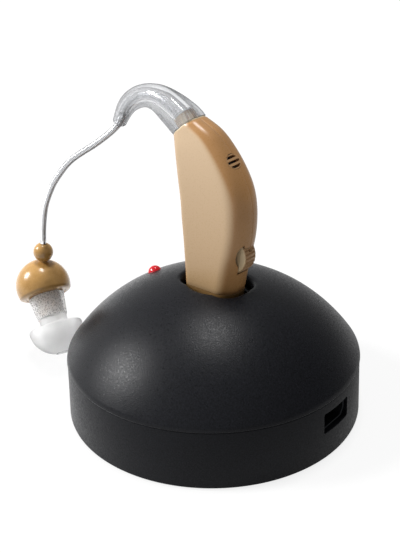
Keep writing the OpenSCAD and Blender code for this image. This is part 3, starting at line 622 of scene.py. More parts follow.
@dataclass(frozen=True)
class ClearPlastic(Finish):
    """Clear or tinted plastic that the light goes through."""

    roughness: float = 0.05
    uneven: Pair = (0.03, 0.04)
    grain: float = 2.5
    detail: float = 2
    grain_depth: float = 0.01
    relief: float = 0.5
    drift: float = 6
    ior: float = 1.46
    clear: float = 1.0
    glow: float = 0.0

    def stops(self) -> Stops:
        """The colour and a little lighter."""
        return shades(self.colour, lifted(self.colour, self.drift))

    def sockets(self) -> dict[str, object]:
        """How clear it is, and how it glows."""
        clear = {"Transmission Weight": self.clear, "IOR": self.ior}
        return clear | {"Emission Color": linear(self.colour), "Emission Strength": self.glow}


@dataclass(frozen=True)
class Silicone(Finish):
    """Soft frosted silicone, from nearly clear to milky."""

    uneven: Pair = (0.06, 0.08)
    grain: float = 0.3
    detail: float = 2
    tone_grain: float = 1.8
    relief: float = 0.4
    drift: float = 6
    milk: float = 0.08
    depth: float = 2.0
    ior: float = 1.14

    def stops(self) -> Stops:
        """A little darker than the colour, and the colour."""
        return shades(lifted(self.colour, -self.drift), self.colour)

    def sockets(self) -> dict[str, object]:
        """How clear and how cloudy it is."""
        cloud = {"Subsurface Weight": 1.0, "Subsurface Radius": (1.0, 1.0, 1.0), "Subsurface Scale": self.depth * MM}
        return cloud | {"Transmission Weight": 1 - self.milk, "IOR": self.ior}


@dataclass(frozen=True)
class CircuitBoard(Finish):
    """Green board with faint copper runs under its lacquer."""

    roughness: float = 0.28
    grain: float = 1.2
    detail: float = 0
    stretch: Triple = (1, 3, 1)
    relief: float = 0
    run: float = 0.04
    paler: float = 26

    def stops(self) -> Stops:
        """Paler where the noise is at its middle."""
        return (0.5 - self.run, self.colour), (0.5, lifted(self.colour, self.paler)), (0.5 + self.run, self.colour)


EVEN = (1, 1, 1)  # tool marks as long as they are wide
DOME_SKIN = TexturedShell("charcoal_skin", (8, 9, 12))
BAND_SKIN = TexturedShell("charcoal_band", (9, 10, 13), roughness=0.42, gloss=0.1)
POCKET_SKIN = MouldedPlastic("pocket_black", (14, 14, 16), drift=2, roughness=0.6, gloss=0.2)
# Case tan: painted sheen on the flat sides, palest near the top and darker at the foot as painted shade.
CASE_TAN = MouldedPlastic(
    "case_tan", (177, 132, 84), painted_sheen=((182, 150, 110), (216, 188, 154)),
    drift=4, roughness=0.3, grain_depth=0.003, gloss=0.3, coat=0.1,
)
# Cream stripe along the case's top edge: a painted highlight where the edge catches the light.
TOP_EDGE_HIGHLIGHT = MouldedPlastic("top_edge_painted_highlight", (240, 222, 190), drift=3, roughness=0.3)
# End cap's darker tan: painted shade and a painted reflection of the dark dome, where the cap sinks into the slot.
CAP_SHADED_TAN = MouldedPlastic("cap_tan", (118, 90, 54), drift=5, roughness=0.34, grain_depth=0.004, gloss=0.3)
# The wheel's pale flat faces are a painted highlight, set against the shade of the scoop.
WHEEL_TAN = MouldedPlastic(
    "wheel_tan", (168, 130, 90), painted_sheen=((226, 200, 158), (226, 200, 158)), drift=5, roughness=0.34, gloss=0.35
)
VENT_TAN = MouldedPlastic("vent_tan", (184, 144, 102), drift=4, roughness=0.34, gloss=0.3)
EAR_TAN = MouldedPlastic(
    "receiver_tan", (184, 142, 82), drift=10, tone_grain=2.2, roughness=0.24, gloss=0.35, coat=0.15
)
HOOK_CLEAR = ClearPlastic(
    "hook_clear", (241, 242, 244), roughness=0.1, clear=0.82, edge=(84, 86, 90), edge_power=2.3
)
SLEEVE_SILICONE = Silicone("sleeve_silicone", (252, 251, 250), milk=0.45, roughness=0.28, ior=1.2)
TIP_SILICONE = Silicone("tip_silicone", (255, 255, 255), milk=0.3, roughness=0.5)
LAMP_RED = ClearPlastic("lamp_red", (208, 5, 26), roughness=0.08, clear=0.3, glow=0.16)
LEAD_SILVER = Metal("lead_silver", (234, 235, 237), roughness=0.22, stretch=EVEN, edge_tint=0.1)
# Darker grey in the lead's winding grooves: painted shade.
LEAD_GROOVE_SHADE = Metal("lead_groove_painted_shade", (140, 142, 146), roughness=0.4, stretch=EVEN, edge_tint=0.1)
SPRING_STEEL = Metal("spring_steel", (150, 152, 156), stretch=EVEN)
# Near-black steel: painted shade inside the socket's opening.
SOCKET_STEEL_SHADED = Metal("socket_steel", (40, 41, 44), roughness=0.5)
TONGUE_BLACK = MouldedPlastic("tongue_black", (12, 12, 14), drift=2, roughness=0.5)


@cache
def made(finish: Finish) -> bpy.types.Material:
    """A finish's material, made once."""
    return finish.material()


def dress(piece: Piece, finish: Finish) -> None:
    """Gives a piece one finish all over."""
    piece.data.materials.clear()
    piece.data.materials.append(made(finish))


def redress(piece: Piece, finish: Finish, picked: np.ndarray) -> None:
    """Gives the faces that are picked a second finish."""
    piece.data.materials.append(made(finish))
    piece.data.polygons.foreach_set("material_index", picked.astype(int).tolist())


def middles(piece: Piece) -> np.ndarray:
    """The middles of a piece's faces, in millimetres."""
    return np.array([face.center for face in piece.data.polygons]) / MM


def settle(piece: Piece, body: Body, finish: Finish, node: str) -> Piece:
    """Dresses a new piece, sets it on its body and puts it in the place of its CAD node.

    Args:
        piece: The mesh object.
        body: The body it rides on.
        finish: Its finish.
        node: The CAD node that it stands for.

    Returns:
        The same piece.
    """
    dress(piece, finish)
    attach(piece, body.value)
    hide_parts(node)
    LOG.info("%s: %d faces on %s", piece.name, len(piece.data.polygons), body.value)
    return piece


# The studio


@dataclass
class Studio:
    """Camera, lamps, white surround and floor."""

    azimuth: float = 41.0
    elevation: float = 25.4
    distance: float = 159.1
    aim: Triple = (-1.74, -1.51, 28.1)
    roll: float = -1.53
    lens: float = 52.08
    sensor: float = 36.0
    clip: Pair = (0.005, 30.0)
    lamp_distance: float = 0.4
    floor_size: float = 8000.0
    surround: float = 0.24
    floor_glow: float = 0.82
    paper_lit: float = 0.38
    paper_seen: float = 0.162
    gloss_tones: Pair = (1.15, 0.2)
    gloss_reach: float = 0.045
    key_from: Triple = (-0.655, -0.49, 0.575)
    key_power: float = 3.4
    key_angle: float = 20.0
    top_from: Triple = (-0.07, 0.09, 0.99)
    top_power: float = 1.9
    top_angle: float = 16.0

    def set_camera(self) -> None:
        """Places the camera at the photograph's viewpoint."""
        a, e, r = (math.radians(x) for x in (self.azimuth, self.elevation, self.roll))
        back = Vector((math.sin(a) * math.cos(e), -math.cos(a) * math.cos(e), math.sin(e)))
        right = Vector((math.cos(a), math.sin(a), 0))
        up = back.cross(right)
        x = right * math.cos(r) + up * math.sin(r)
        y = up * math.cos(r) - right * math.sin(r)
        data = bpy.data.cameras.new("photo_camera")
        data.sensor_fit = "VERTICAL"
        data.sensor_height = self.sensor
        data.lens = self.lens
        data.clip_start, data.clip_end = self.clip
        camera = bpy.data.objects.new("photo_camera", data)
        bpy.context.scene.collection.objects.link(camera)
        turn = Matrix((x, y, back)).transposed().to_4x4()
        camera.matrix_world = Matrix.Translation((Vector(self.aim) + back * self.distance) * MM) @ turn
        bpy.context.scene.camera = camera

    def add_lamp(self, name: str, direction: Triple, power: float, angle: float) -> None:
        """Adds one soft distant lamp.

        Args:
            name: The lamp's name.
            direction: Where it shines from.
            power: Its strength.
            angle: Its apparent width in degrees.
        """
        data = bpy.data.lights.new(name, "SUN")
        data.energy = power
        data.angle = math.radians(angle)
        lamp = bpy.data.objects.new(name, data)
        bpy.context.scene.collection.objects.link(lamp)
        lamp.rotation_euler = Vector(direction).to_track_quat("Z", "Y").to_euler()
        lamp.location = Vector(direction) * self.lamp_distance

    def by_ray(self, graph: Graph, lit: float, seen: float) -> Socket:
        """One value for rays that light the object, and another for rays from the camera or through glass.

        Args:
            graph: The node tree.
            lit: The value for light.
            seen: The value for what is seen.

        Returns:
            The value.
        """
        path = graph.add("LightPath").outputs
        either = graph.add("Math", "MAXIMUM", _0=path["Is Camera Ray"], _1=path["Is Transmission Ray"])
        return graph.add("MapRange", Value=either.outputs[0], To_Min=lit, To_Max=seen).outputs["Result"]

    def tone(self, graph: Graph, level: Socket, place: Socket, reach: float) -> Socket:
        """How bright the white is; only reflections see it fall off to the right.

        Args:
            graph: The node tree.
            level: Brightness for all other rays.
            place: Where a ray goes.
            reach: Length over which the fall-off runs, each way.

        Returns:
            The brightness.
        """
        angle = math.radians(self.azimuth)
        across = graph.add("VectorMath", "DOT_PRODUCT", _0=place, _1=(math.cos(angle), math.sin(angle), 0))
        left, right = self.gloss_tones
        span = {"From_Min": -reach, "From_Max": reach, "To_Min": left, "To_Max": right}
        fall = graph.add("MapRange", Value=across.outputs["Value"], **span).outputs["Result"]
        glossy = graph.add("LightPath").outputs["Is Glossy Ray"]
        return graph.add("Mix", _0=glossy, _2=level, _3=fall).outputs[0]

    def set_surround(self) -> None:
        """Lights the object evenly from a white surround, and shows that white behind it."""
        world = bpy.data.worlds.new("white_surround")
        world.use_nodes = True
        graph = Graph(world.node_tree)
        way = graph.add("TexCoord").outputs["Generated"]
        strength = self.tone(graph, self.by_ray(graph, self.surround, 1.0), way, 1.0)
        light = graph.add("Background", Color=(1, 1, 1, 1), Strength=strength)
        graph.add("OutputWorld", Surface=light.outputs[0])
        bpy.context.scene.world = world

    def lay_floor(self) -> None:
        """Lays the white floor, which keeps the object's shadow."""
        half = self.floor_size / 2
        corners = np.array([(-half, -half, 0), (half, -half, 0), (half, half, 0), (-half, half, 0)], float)
        floor = make_piece("studio_floor", corners, [(0, 1, 2, 3)])
        material = bpy.data.materials.new("studio_white")
        material.use_nodes = True
        graph = Graph(material.node_tree)
        paper = graph.add("BsdfDiffuse", Color=self.by_ray(graph, self.paper_lit, self.paper_seen))
        spot = graph.add("NewGeometry").outputs["Position"]
        strength = self.tone(graph, self.by_ray(graph, 0.0, self.floor_glow), spot, self.gloss_reach)
        glow = graph.add("Emission", Strength=strength)
        both = graph.add("AddShader", _0=paper.outputs[0], _1=glow.outputs[0])
        graph.add("OutputMaterial", Surface=both.outputs[0])
        floor.data.materials.append(material)

    def build(self) -> None:
        """Sets the whole studio."""
        bpy.context.scene.view_settings.view_transform = "Standard"
        self.set_camera()
        self.set_surround()
        self.lay_floor()
        self.add_lamp("key_lamp", self.key_from, self.key_power, self.key_angle)
        self.add_lamp("top_lamp", self.top_from, self.top_power, self.top_angle)


# The lead


@dataclass
class SoundLead:
    """The silver jacketed lead from the ear hook to the bead: a close winding over the wires, with painted shade in its
    grooves.
    """

    diameter: float = 1.35
    pitch: float = 0.32
    groove: float = 0.1
    # faces deeper in the groove than this share of its depth get painted shade
    shaded_groove_share: float = 0.65
    sides: int = 20
    rings_per_turn: int = 8
    route_steps: int = 16
    route: tuple[Triple, ...] = (
        (-22, 0, 57.9), (-22.4, 0, 57.3), (-23.4, 0, 55.7), (-24, -0.3, 54.8), (-25, -1.2, 53.6),
        (-26.5, -2.3, 52.2), (-28.1, -3.3, 50.9), (-30.1, -4.4, 49.5), (-32.1, -5.5, 48), (-33.6, -6.1, 46.6),
        (-34.8, -6.7, 45.1), (-36.8, -7.5, 42.3), (-38.4, -8, 39.4), (-39.7, -8.3, 36.5), (-40.6, -8.4, 33.5),
        (-41.3, -8.4, 30.6), (-41.5, -8.5, 28.6), (-41.6, -8.6, 27.5),
    )

    def line(self) -> tuple[np.ndarray, np.ndarray]:
        """The lead's centre line at even steps.

        Returns:
            The points, and how far along each one lies.
        """
        fine = smooth(list(self.route), self.route_steps)
        along = np.concatenate([[0], np.cumsum(np.linalg.norm(np.diff(fine, axis=0), axis=1))])
        count = round(along[-1] / self.pitch * self.rings_per_turn)
        at = np.linspace(0, along[-1], count + 1)
        return np.stack([np.interp(at, along, fine[:, k]) for k in range(3)], 1), at

    def build(self) -> None:
        points, at = self.line()
        heading = np.gradient(points, axis=0)
        heading /= np.linalg.norm(heading, axis=1)[:, None]
        side, around, straight = Y_AXIS, angles(self.sides), self.diameter
        rings = []
        for p, d, s in zip(points, heading, at):
            side = unit(side - d * (side @ d))
            ends = min(1.0, s / straight, (at[-1] - s) / straight)
            wave = 0.5 - 0.5 * np.cos(2 * math.pi * s / self.pitch - around)
            radius = self.diameter / 2 - self.groove * ends * (1 - np.sqrt(wave))
            outline = np.stack([radius * np.cos(around), radius * np.sin(around)], 1)
            rings.append(spanned(p, side, np.cross(d, side), outline))
        jacket = loft("sound_lead_jacket", rings, sharp=WIRE_CRISP)
        lead = settle(jacket, Body.AMPLIFIER, LEAD_SILVER, "sound_lead")
        # Painted shade: faces deep in the winding's grooves take the darker grey.
        away = np.array([np.linalg.norm(points - m, axis=1).min() for m in middles(lead)])
        redress(lead, LEAD_GROOVE_SHADE, away < self.diameter / 2 - self.groove * self.shaded_groove_share)


# The charging base


@dataclass
class ChargingBase:
    """Dome, band, lamp and power socket."""

    radius: float = 30.0
    tray_height: float = 12.0
    dome_rise: float = 16.49
    shoulder: float = 2.0
    rim_step: float = 0.1
    draft: float = 0.5
    wall: float = 1.8
    ledge: Pair = (1.2, 1.4)
    floor_low: float = 0.2
    floor_top: float = 2.2
    pad_recess: float = 26.2
    pad_top: float = 0.9
    foot_round: float = 0.3
    recess_round: float = 0.1
    crease: float = 0.22
    slot_x: float = 1.4
    slot: Triple = (13.4, 9.8, 3.4)
    lip_flare: float = 1.2
    lip_depth: float = 1.6
    columns: int = RIM_SIDES
    corner_steps: int = 40
    shoulder_steps: int = 10
    lip_rows: int = 9
    crown_rows: int = 45
    inside_rows: int = 12
    lamp_x: float = 15.8
    lamp_radius: float = 1.5
    lamp_sunk: float = 0.4
    lamp_room: float = 0.08
    lamp_flange: Triple = (0.4, 2.0, 3.0)
    lamp_steps: int = 14
    socket_z: float = 7.9
    socket_front: float = 29.2
    socket_length: float = 8.6
    socket_size: Pair = (7.7, 3.95)
    socket_wall: float = 0.35
    socket_gap: float = 0.15
    opening_corner: float = 0.35
    socket_corners: Triple = (0.3, 0.42, 0.55)
    socket_bevel: float = 0.1
    socket_foot: float = 0.78
    socket_knee: float = 0.4
    socket_back: float = 1.2
    tongue: Triple = (6.0, 1.1, 6.0)
    tongue_corner: float = 0.2
    tongue_taper: Pair = (0.9, 0.3)
    posts: int = 3
    post_ring: float = 22.4
    post_radius: float = 2.8
    post_bore: float = 1.15
    post_short: float = 4.5
    post_sunk: float = 0.2
    post_round: float = 0.3
    first_post: float = 60.0

    @property
    def crown_radius(self) -> float:
        """Radius of the crown's arc."""
        run = (self.radius - self.shoulder) ** 2 + self.dome_rise**2 - self.shoulder**2
        return run / (2 * (self.dome_rise - self.shoulder))

    @property
    def crown_z(self) -> float:
        """Height of the crown's centre."""
        return self.tray_height + self.dome_rise - self.crown_radius

    def crown(self, flat: np.ndarray, under: float = 0.0, drop: float = 0.0) -> np.ndarray:
        """Points of the plane lifted to the crown, some way inside its surface or dropped below it."""
        return level(flat, self.crown_z + np.sqrt((self.crown_radius - under) ** 2 - (flat**2).sum(1)) - drop)

    def slot_ring(self, grow: float) -> np.ndarray:
        """The slot's outline, grown outward, at even angles about the slot's middle.

        Args:
            grow: How far outside the slot it runs.

        Returns:
            One point for each column.
        """
        length, width, corner = self.slot
        fine = rounded_rectangle(length + 2 * grow, width + 2 * grow, corner + grow, self.corner_steps)
        fine = np.vstack([fine, fine[:1]])
        turn = np.unwrap(np.arctan2(fine[:, 1], fine[:, 0]))
        want = turn[0] + angles(self.columns)
        far = np.interp(want, turn, np.hypot(fine[:, 0], fine[:, 1]))
        return np.stack([far * np.cos(want) + self.slot_x, far * np.sin(want)], 1)

    def circle_ring(self, radius: float, rays: np.ndarray) -> np.ndarray:
        """Points of a circle about the base's axis on the rays from the slot's middle.

        Args:
            radius: The circle's radius.
            rays: The slot's outline, which gives each ray.

        Returns:
            One point for each ray.
        """
        start = np.array([self.slot_x, 0.0])
        way = rays - start
        way /= np.linalg.norm(way, axis=1)[:, None]
        b = way @ start
        return start + way * (np.sqrt(b**2 - start @ start + radius**2) - b)[:, None]

    def lamp_place(self) -> Matrix:
        """Frame of the lamp: on the dome's surface, Z out."""
        tilt = math.degrees(math.asin(self.lamp_x / self.crown_radius))
        return shifted(0, 0, self.crown_z) @ turned(-tilt, "Y") @ shifted(0, 0, self.crown_radius)

    def build_dome(self) -> None:
        """The dome: a shell from the slot's rolled lip out to the rim and back inside."""
        start, mouth = self.slot_ring(0), self.slot_ring(self.lip_flare)
        r, top, c, bend = self.radius, self.tray_height, self.crease, self.shoulder
        rings = []
        for t in np.radians(np.linspace(0, 90, self.lip_rows)):
            flat = self.slot_ring(self.lip_flare * (1 - math.cos(t)))
            rings.append(self.crown(flat, drop=self.lip_depth * (1 - math.sin(t))))
        tangent = (r - bend) * self.crown_radius / (self.crown_radius - bend)
        edge = self.circle_ring(tangent, start)
        rings += [self.crown(mouth + (edge - mouth) * t) for t in np.linspace(0, 1, self.crown_rows + 1)[1:]]
        start_angle = math.degrees(math.acos(tangent / self.crown_radius))
        outside = arc((r - bend, top), bend, start_angle, 0, self.shoulder_steps)[1:]
        outside[:, 1] = np.maximum(outside[:, 1], top + c)
        inner = r - self.wall
        ledge = [(inner, top), (inner, top + self.ledge[1])]
        down = np.vstack([outside, arc((r - c, top + c), c, 0, -90, 4)[1:], ledge])
        rings += [level(self.circle_ring(x, start), z) for x, z in down]
        back = self.circle_ring(inner - self.ledge[0], start)
        rings += [self.crown(back + (start - back) * t, self.wall) for t in np.linspace(0, 1, self.inside_rows)]
        dome = loft("dome_shell", rings, loop=True, sharp=MOULD_CRISP)
        cut_away(dome, [plug(self.lamp_radius + self.lamp_room, -4, 3, self.lamp_place(), SMALL_SIDES)], MOULD_CRISP)
        settle(dome, Body.BASE, DOME_SKIN, "charger_dome")

    def build_tray(self) -> None:
        """The band and floor, with the socket's opening and the screw posts."""
        top = self.radius - self.rim_step
        inner = top - self.wall
        profile = fillet([
            (self.pad_recess, self.pad_top, 0), (self.pad_recess, self.floor_low, self.recess_round),
            (top + self.draft, self.floor_low, self.foot_round), (top, self.tray_height, self.crease),
            (inner, self.tray_height, 0), (inner, self.floor_top, 0.5), (0, self.floor_top, 0), (0, self.pad_top, 0),
        ])
        tray = revolve("band_shell", profile, Matrix(), RIM_SIDES, MOULD_CRISP)
        width, height = (s + 2 * self.socket_gap for s in self.socket_size)
        place = shifted(self.radius, 0, self.socket_z) @ turned(90, "Z") @ turned(90, "X")
        opening = rounded_rectangle(width, height, self.opening_corner, 4)
        cut_away(tray, [prism("opening", opening, -4, 4, place)], MOULD_CRISP)
        low, high = self.floor_top - self.post_sunk, self.tray_height - self.post_short
        bore, outer = self.post_bore, self.post_radius
        outline = fillet([(bore, low, 0), (outer, low, 0), (outer, high, self.post_round), (bore, high, 0)], 3)
        pieces = [tray]
        for turn in math.radians(self.first_post) + angles(self.posts):
            spot = shifted(self.post_ring * math.cos(turn), self.post_ring * math.sin(turn), 0)
            pieces.append(revolve("post", outline, spot, FINE_SIDES))
        settle(joined("band", pieces), Body.BASE, BAND_SKIN, "charger_tray")

    def build_lamp(self) -> None:
        """The red lamp: a round lens on a body behind the dome."""
        r = self.lamp_radius
        wider, high, low = self.lamp_flange
        body = [(r, -high), (r + wider, -high), (r + wider, -low), (0, -low)]
        profile = np.vstack([arc((0, -self.lamp_sunk), r, 90, 0, self.lamp_steps), body])
        lens = revolve("lamp_lens", profile, self.lamp_place(), SMALL_SIDES)
        settle(lens, Body.BASE, LAMP_RED, "charge_led")

    def socket_outline(self, grow: float, corner: float) -> np.ndarray:
        """The socket's outline, narrower below.

        Args:
            grow: How far outside the socket's inside size it runs.
            corner: Radius of its corners.

        Returns:
            The outline's points.
        """
        w, h = self.socket_size[0] / 2 + grow, self.socket_size[1] / 2 + grow
        foot, knee = w * self.socket_foot, -h + self.socket_knee * 2 * h
        corners = ((-foot, -h), (foot, -h), (w, knee), (w, h), (-w, h), (-w, knee))
        return fillet([(x, y, corner) for x, y in corners], 4)

    def build_socket(self) -> None:
        """The socket's steel shell, near-black as painted shade inside the opening, and its contact tongue."""
        place = shifted(self.socket_front, 0, self.socket_z) @ turned(-90, "Z") @ turned(90, "X")
        wall, length = self.socket_wall, self.socket_length
        back = length - self.socket_back
        tight, middle, wide = self.socket_corners
        bevel = self.socket_bevel
        rows = (
            (-wall, tight, back), (-wall, tight, bevel), (-wall / 2, middle, 0), (0, wide, bevel), (0, wide, length),
        )
        rings = [placed(level(self.socket_outline(grow, corner), depth), place) for grow, corner, depth in rows]
        # The shell's near-black steel is painted shade inside the opening.
        settle(loft("socket_shell", rings), Body.BASE, SOCKET_STEEL_SHADED, "usb_socket_shell")
        width, thick, long = self.tongue
        outline, (narrow, taper) = rounded_rectangle(width, thick, self.tongue_corner, 3), self.tongue_taper
        rows = ((narrow, back - long), (1, back - long + taper), (1, back))
        rings = [placed(level(outline * share, depth), place) for share, depth in rows]
        settle(loft("socket_tongue", rings), Body.BASE, TONGUE_BLACK, "usb_socket_tongue")

    def build(self) -> None:
        """Builds and dresses the base's visible pieces."""
        self.build_dome()
        self.build_tray()
        self.build_lamp()
        self.build_socket()


@dataclass
class SpringContacts:
    """The coil springs under the two charging contacts."""

    middle_x: float = 1.35
    spacing: float = 4.4
    low: float = 8.8
    high: float = 12.9
    radius: float = 0.8
    wire: float = 0.22
    coils: int = 8
    steps_per_coil: int = 24
    wire_sides: int = 10
    travel: float = 0.5

    def build_one(self, side: Side) -> None:
        """One spring under a contact; the real one shortens as its contact is pressed, this one keeps one length.

        Args:
            side: Which of the two contacts it is under.
        """
        x = self.middle_x + side.value * self.spacing / 2
        thick, steps = self.wire / 2, self.coils * self.steps_per_coil
        outline = arc((0, 0), thick, 0, 360, self.wire_sides)[:-1]
        rings = []
        for k in range(steps + 1):
            turn = 2 * math.pi * k / self.steps_per_coil
            out = np.array([math.cos(turn), math.sin(turn), 0.0])
            z = self.low + thick + (self.high - self.low - self.wire) * k / steps
            middle = np.array([x, 0.0, z]) + (self.radius - thick) * out
            rings.append(spanned(middle, out, Z_AXIS, outline))
        word = side.name.lower()
        spring = loft(f"spring_{word}_coil", rings, sharp=WIRE_CRISP)
        settle(spring, Body.BASE, SPRING_STEEL, f"pin_spring_{word}")
        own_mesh(spring)

    def build(self) -> None:
        """Builds both springs."""
        for side in Side:
            self.build_one(side)


# The amplifier


@dataclass
class AmplifierCase:
    """The two case mouldings, the end cap below them and the vent in the spine."""

    seat_z: float = 14.5
    height: float = 45.6
    foot_x: float = 1.35
    foot_width: float = 9.4
    thickness: float = 7.8
    wall: float = 1.0
    top_wall: float = 1.4
    cap_height: float = 12.4
    foot_room: float = 0.8
    hollow_drop: float = 2.0
    overlap: float = 0.5
    seam: float = 0.08
    seam_width: float = 0.17
    edge: float = 0.16
    top_edge: float = 0.3
    steps: int = 8
    corner_steps: int = 7
    spine_steps: int = 14
    flat_steps: int = 14
    wheel_centre: Triple = WHEEL_CENTRE
    wheel_room: Pair = (4.05, 1.75)
    room_round: float = 0.1
    scoop: Triple = (4.95, 2.8, 3.0)
    scoop_levels: Triple = (1.5, 1.7, 4.0)
    scoop_round: float = 0.3
    scoop_drop: float = 1.25
    scoop_stretch: float = 1.7
    vent_share: Pair = (0.52, 0.845)
    vent_y: float = -0.6
    vent_tilt: float = 52.0
    vent_roll: float = 10.0
    vent_radius: float = 1.55
    vent_thickness: float = 1.1
    vent_gap: float = 0.02
    vent_proud: float = 0.05
    vent_round: float = 0.12
    tunnel_radius: float = 1.45
    nozzle_radius: float = 1.55
    slit_width: float = 0.5
    slit_spacing: float = 0.95
    slit_rim: float = 0.2
    slit_steps: int = 8
    cap_rounds: Shares = (1.0, 0.55, 0.25, 0.08)
    inner_shares: Pairs = (
        (-0.49, 0), (-0.52, 0.13), (-0.56, 0.26), (-0.58, 0.38), (-0.6, 0.48), (-0.63, 0.57),
        (-0.65, 0.66), (-0.7, 0.74), (-0.75, 0.81), (-0.8, 0.865), (-0.84, 0.895), (-0.88, 0.915),
    )
    spine_shares: Pairs = (
        (0.49, 0), (0.54, 0.13), (0.61, 0.26), (0.73, 0.38), (0.86, 0.48), (0.93, 0.57),
        (0.93, 0.66), (0.84, 0.74), (0.63, 0.82), (0.34, 0.895), (0.04, 0.95), (-0.4, 0.995),
    )
    thickness_shares: Shares = (0.94, 0.97, 1, 1, 1, 1, 1, 0.99, 0.96, 0.91, 0.85, 0.78)
    inner_round_shares: Shares = (0.3, 0.3, 0.3, 0.3, 0.3, 0.3, 0.3, 0.32, 0.36, 0.42, 0.5, 0.6)
    spine_round_shares: Shares = (0.85, 0.88, 0.9, 0.92, 0.94, 0.94, 0.94, 0.92, 0.9, 0.85, 0.78, 0.68)

    def __post_init__(self) -> None:
        """Runs the case's smooth lines once."""
        half = self.thickness / 2
        self.inner = smooth([self.point(s) for s in self.inner_shares], self.steps)
        self.spine = smooth([self.point(s) for s in self.spine_shares], self.steps)
        self.half_t = smooth([t * half for t in self.thickness_shares], self.steps)
        pairs = zip(self.thickness_shares, self.inner_round_shares, self.spine_round_shares)
        self.rounds = smooth([(t * a * half, t * b * half) for t, a, b in pairs], self.steps)
        self.last = len(self.inner) - 1

    @property
    def seam_z(self) -> float:
        """Height of the seam between the case and its end cap."""
        return self.seat_z + self.cap_height

    def point(self, share: Pair) -> np.ndarray:
        """A place in the parting plane, from shares of the foot's width and the height."""
        return np.array([self.foot_x + share[0] * self.foot_width, 0.0, self.seat_z + share[1] * self.height])

    def top_frame(self) -> tuple[np.ndarray, float]:
        """Middle and slant of the plane where the hook sits."""
        low, high = self.inner[-1], self.spine[-1]
        return (low + high) / 2, math.degrees(math.atan2(high[2] - low[2], high[0] - low[0]))

    def between(self, line: np.ndarray, station: float) -> np.ndarray:
        """A line's value at a station, which may lie between two.

        Args:
            line: The line's values at whole stations.
            station: The station.

        Returns:
            The value.
        """
        i = min(int(station), self.last - 1)
        share = station - i
        return line[i] * (1 - share) + line[i + 1] * share

    def half_ring(self, station: float, inset: float, lift: float = 0.0, seam: float = 0.0) -> np.ndarray:
        """Half of the case's outline at one station, from its inner edge round to the spine.

        Args:
            station: The station, which may lie between two.
            inset: How far inside the surface it runs.
            lift: How far above the station's plane.
            seam: Depth of the parting line's groove.

        Returns:
            Points with Y from 0 outward.
        """
        a, b, h = (self.between(line, station) for line in (self.inner, self.spine, self.half_t))
        ri, rs = (max(float(r) - inset, inset / 2) for r in self.between(self.rounds, station))
        w = float(np.linalg.norm(b - a))
        u = (b - a) / w
        g = self.seam_width if seam else 0.0
        first = arc((inset + ri, h - inset - ri), ri, 180, 90, self.corner_steps)
        last = arc((w - inset - rs, h - inset - rs), rs, 90, 0, self.spine_steps)
        flat = first[-1] + (last[0] - first[-1]) * np.linspace(0, 1, self.flat_steps + 2)[1:-1, None]
        outline = np.vstack([
            [(inset + seam, 0.0), (inset, g)], [(inset, g + (first[0][1] - g) / 2)], first, flat, last,
            [(w - inset, g), (w - inset - seam, 0.0)],
        ])
        return spanned(a + np.cross(u, Y_AXIS) * lift, u, Y_AXIS, outline)

    def station_at(self, z: float) -> float:
        """The station whose inner edge has a given height."""
        return float(np.interp(z, self.inner[:, 2], np.arange(self.last + 1)))

    def wheel_cutters(self) -> list[Piece]:
        """Shapes that open the case for the wheel.

        Returns:
            The wheel's room, and the scoop on each side of it.
        """
        x, _, z = self.wheel_centre
        radius, half = self.wheel_room
        shift, near, far = self.scoop
        low, edge, high = self.scoop_levels
        dish = fillet([(0, low, 0), (near, low, 0), (near, edge, self.scoop_round), (far, high, 0), (0, high, 0)], 6)
        room = shifted(x, 0, z) @ turned(-90, "X")
        cutters = [plug(radius, -half, half, room, BROAD_SIDES, self.room_round)]
        for turn in (90, -90):
            spot = shifted(x + shift, 0, z - self.scoop_drop) @ turned(turn, "X")
            cutters.append(revolve("scoop", dish, spot @ Matrix.Diagonal((1, self.scoop_stretch, 1, 1))))
        return cutters

    def vent_place(self) -> Matrix:
        """Frame of the vent, Z out of the case."""
        at = self.point(self.vent_share)
        return shifted(at[0], self.vent_y, at[2]) @ turned(self.vent_tilt, "Y") @ turned(self.vent_roll, "X")

    def top_place(self) -> Matrix:
        """Frame of the case's top, Z out of it."""
        middle, tilt = self.top_frame()
        return shifted(*middle) @ turned(-tilt, "Y")

    def build_half(self, side: Side) -> None:
        """One moulding of the case, hollow, with its openings and a painted highlight along its top edge.

        Args:
            side: Which of the two mouldings it is.
        """
        foot, z, e, t = self.station_at(self.seam_z), self.seam_z, self.edge, self.top_edge
        across = (1, side.value, 1)
        stations = [i for i in range(self.last + 1) if self.inner[i][2] > z + self.foot_room]
        rings = [level(self.half_ring(foot, a * e, 0, self.seam), z + b * e) for a, b in BEVEL]
        rings += [self.half_ring(i, 0, 0, self.seam) for i in stations[:-1]]
        rings += [self.half_ring(self.last, a * t, -b * t, self.seam) for a, b in BEVEL[::-1]]
        word = side.name.lower()
        shell = loft(f"case_shell_{word}", [r * across for r in rings])
        rings = [level(self.half_ring(foot, self.wall), z - self.hollow_drop)]
        rings += [self.half_ring(i, self.wall) for i in stations if i < self.last - self.steps]
        rings.append(self.half_ring(self.last, self.wall, -self.top_wall))
        rings = [r * across for r in rings]
        for ring in rings:
            ring[[0, -1], 1] = -self.overlap * side.value
        vent = self.vent_place()
        cut_away(shell, [
            loft("hollow", rings), *self.wheel_cutters(),
            plug(self.vent_radius + self.vent_gap, -self.vent_thickness, 2, vent),
            plug(self.tunnel_radius, -4, 0, vent, SMALL_SIDES),
            plug(self.nozzle_radius, -4, 2, self.top_place(), SMALL_SIDES),
        ])
        settle(shell, Body.AMPLIFIER, CASE_TAN, f"case_{word}")
        # Painted highlight: the faces along the top edge take the cream colour.
        redress(shell, TOP_EDGE_HIGHLIGHT, placed(middles(shell), self.top_place().inverted())[:, 2] > -t)

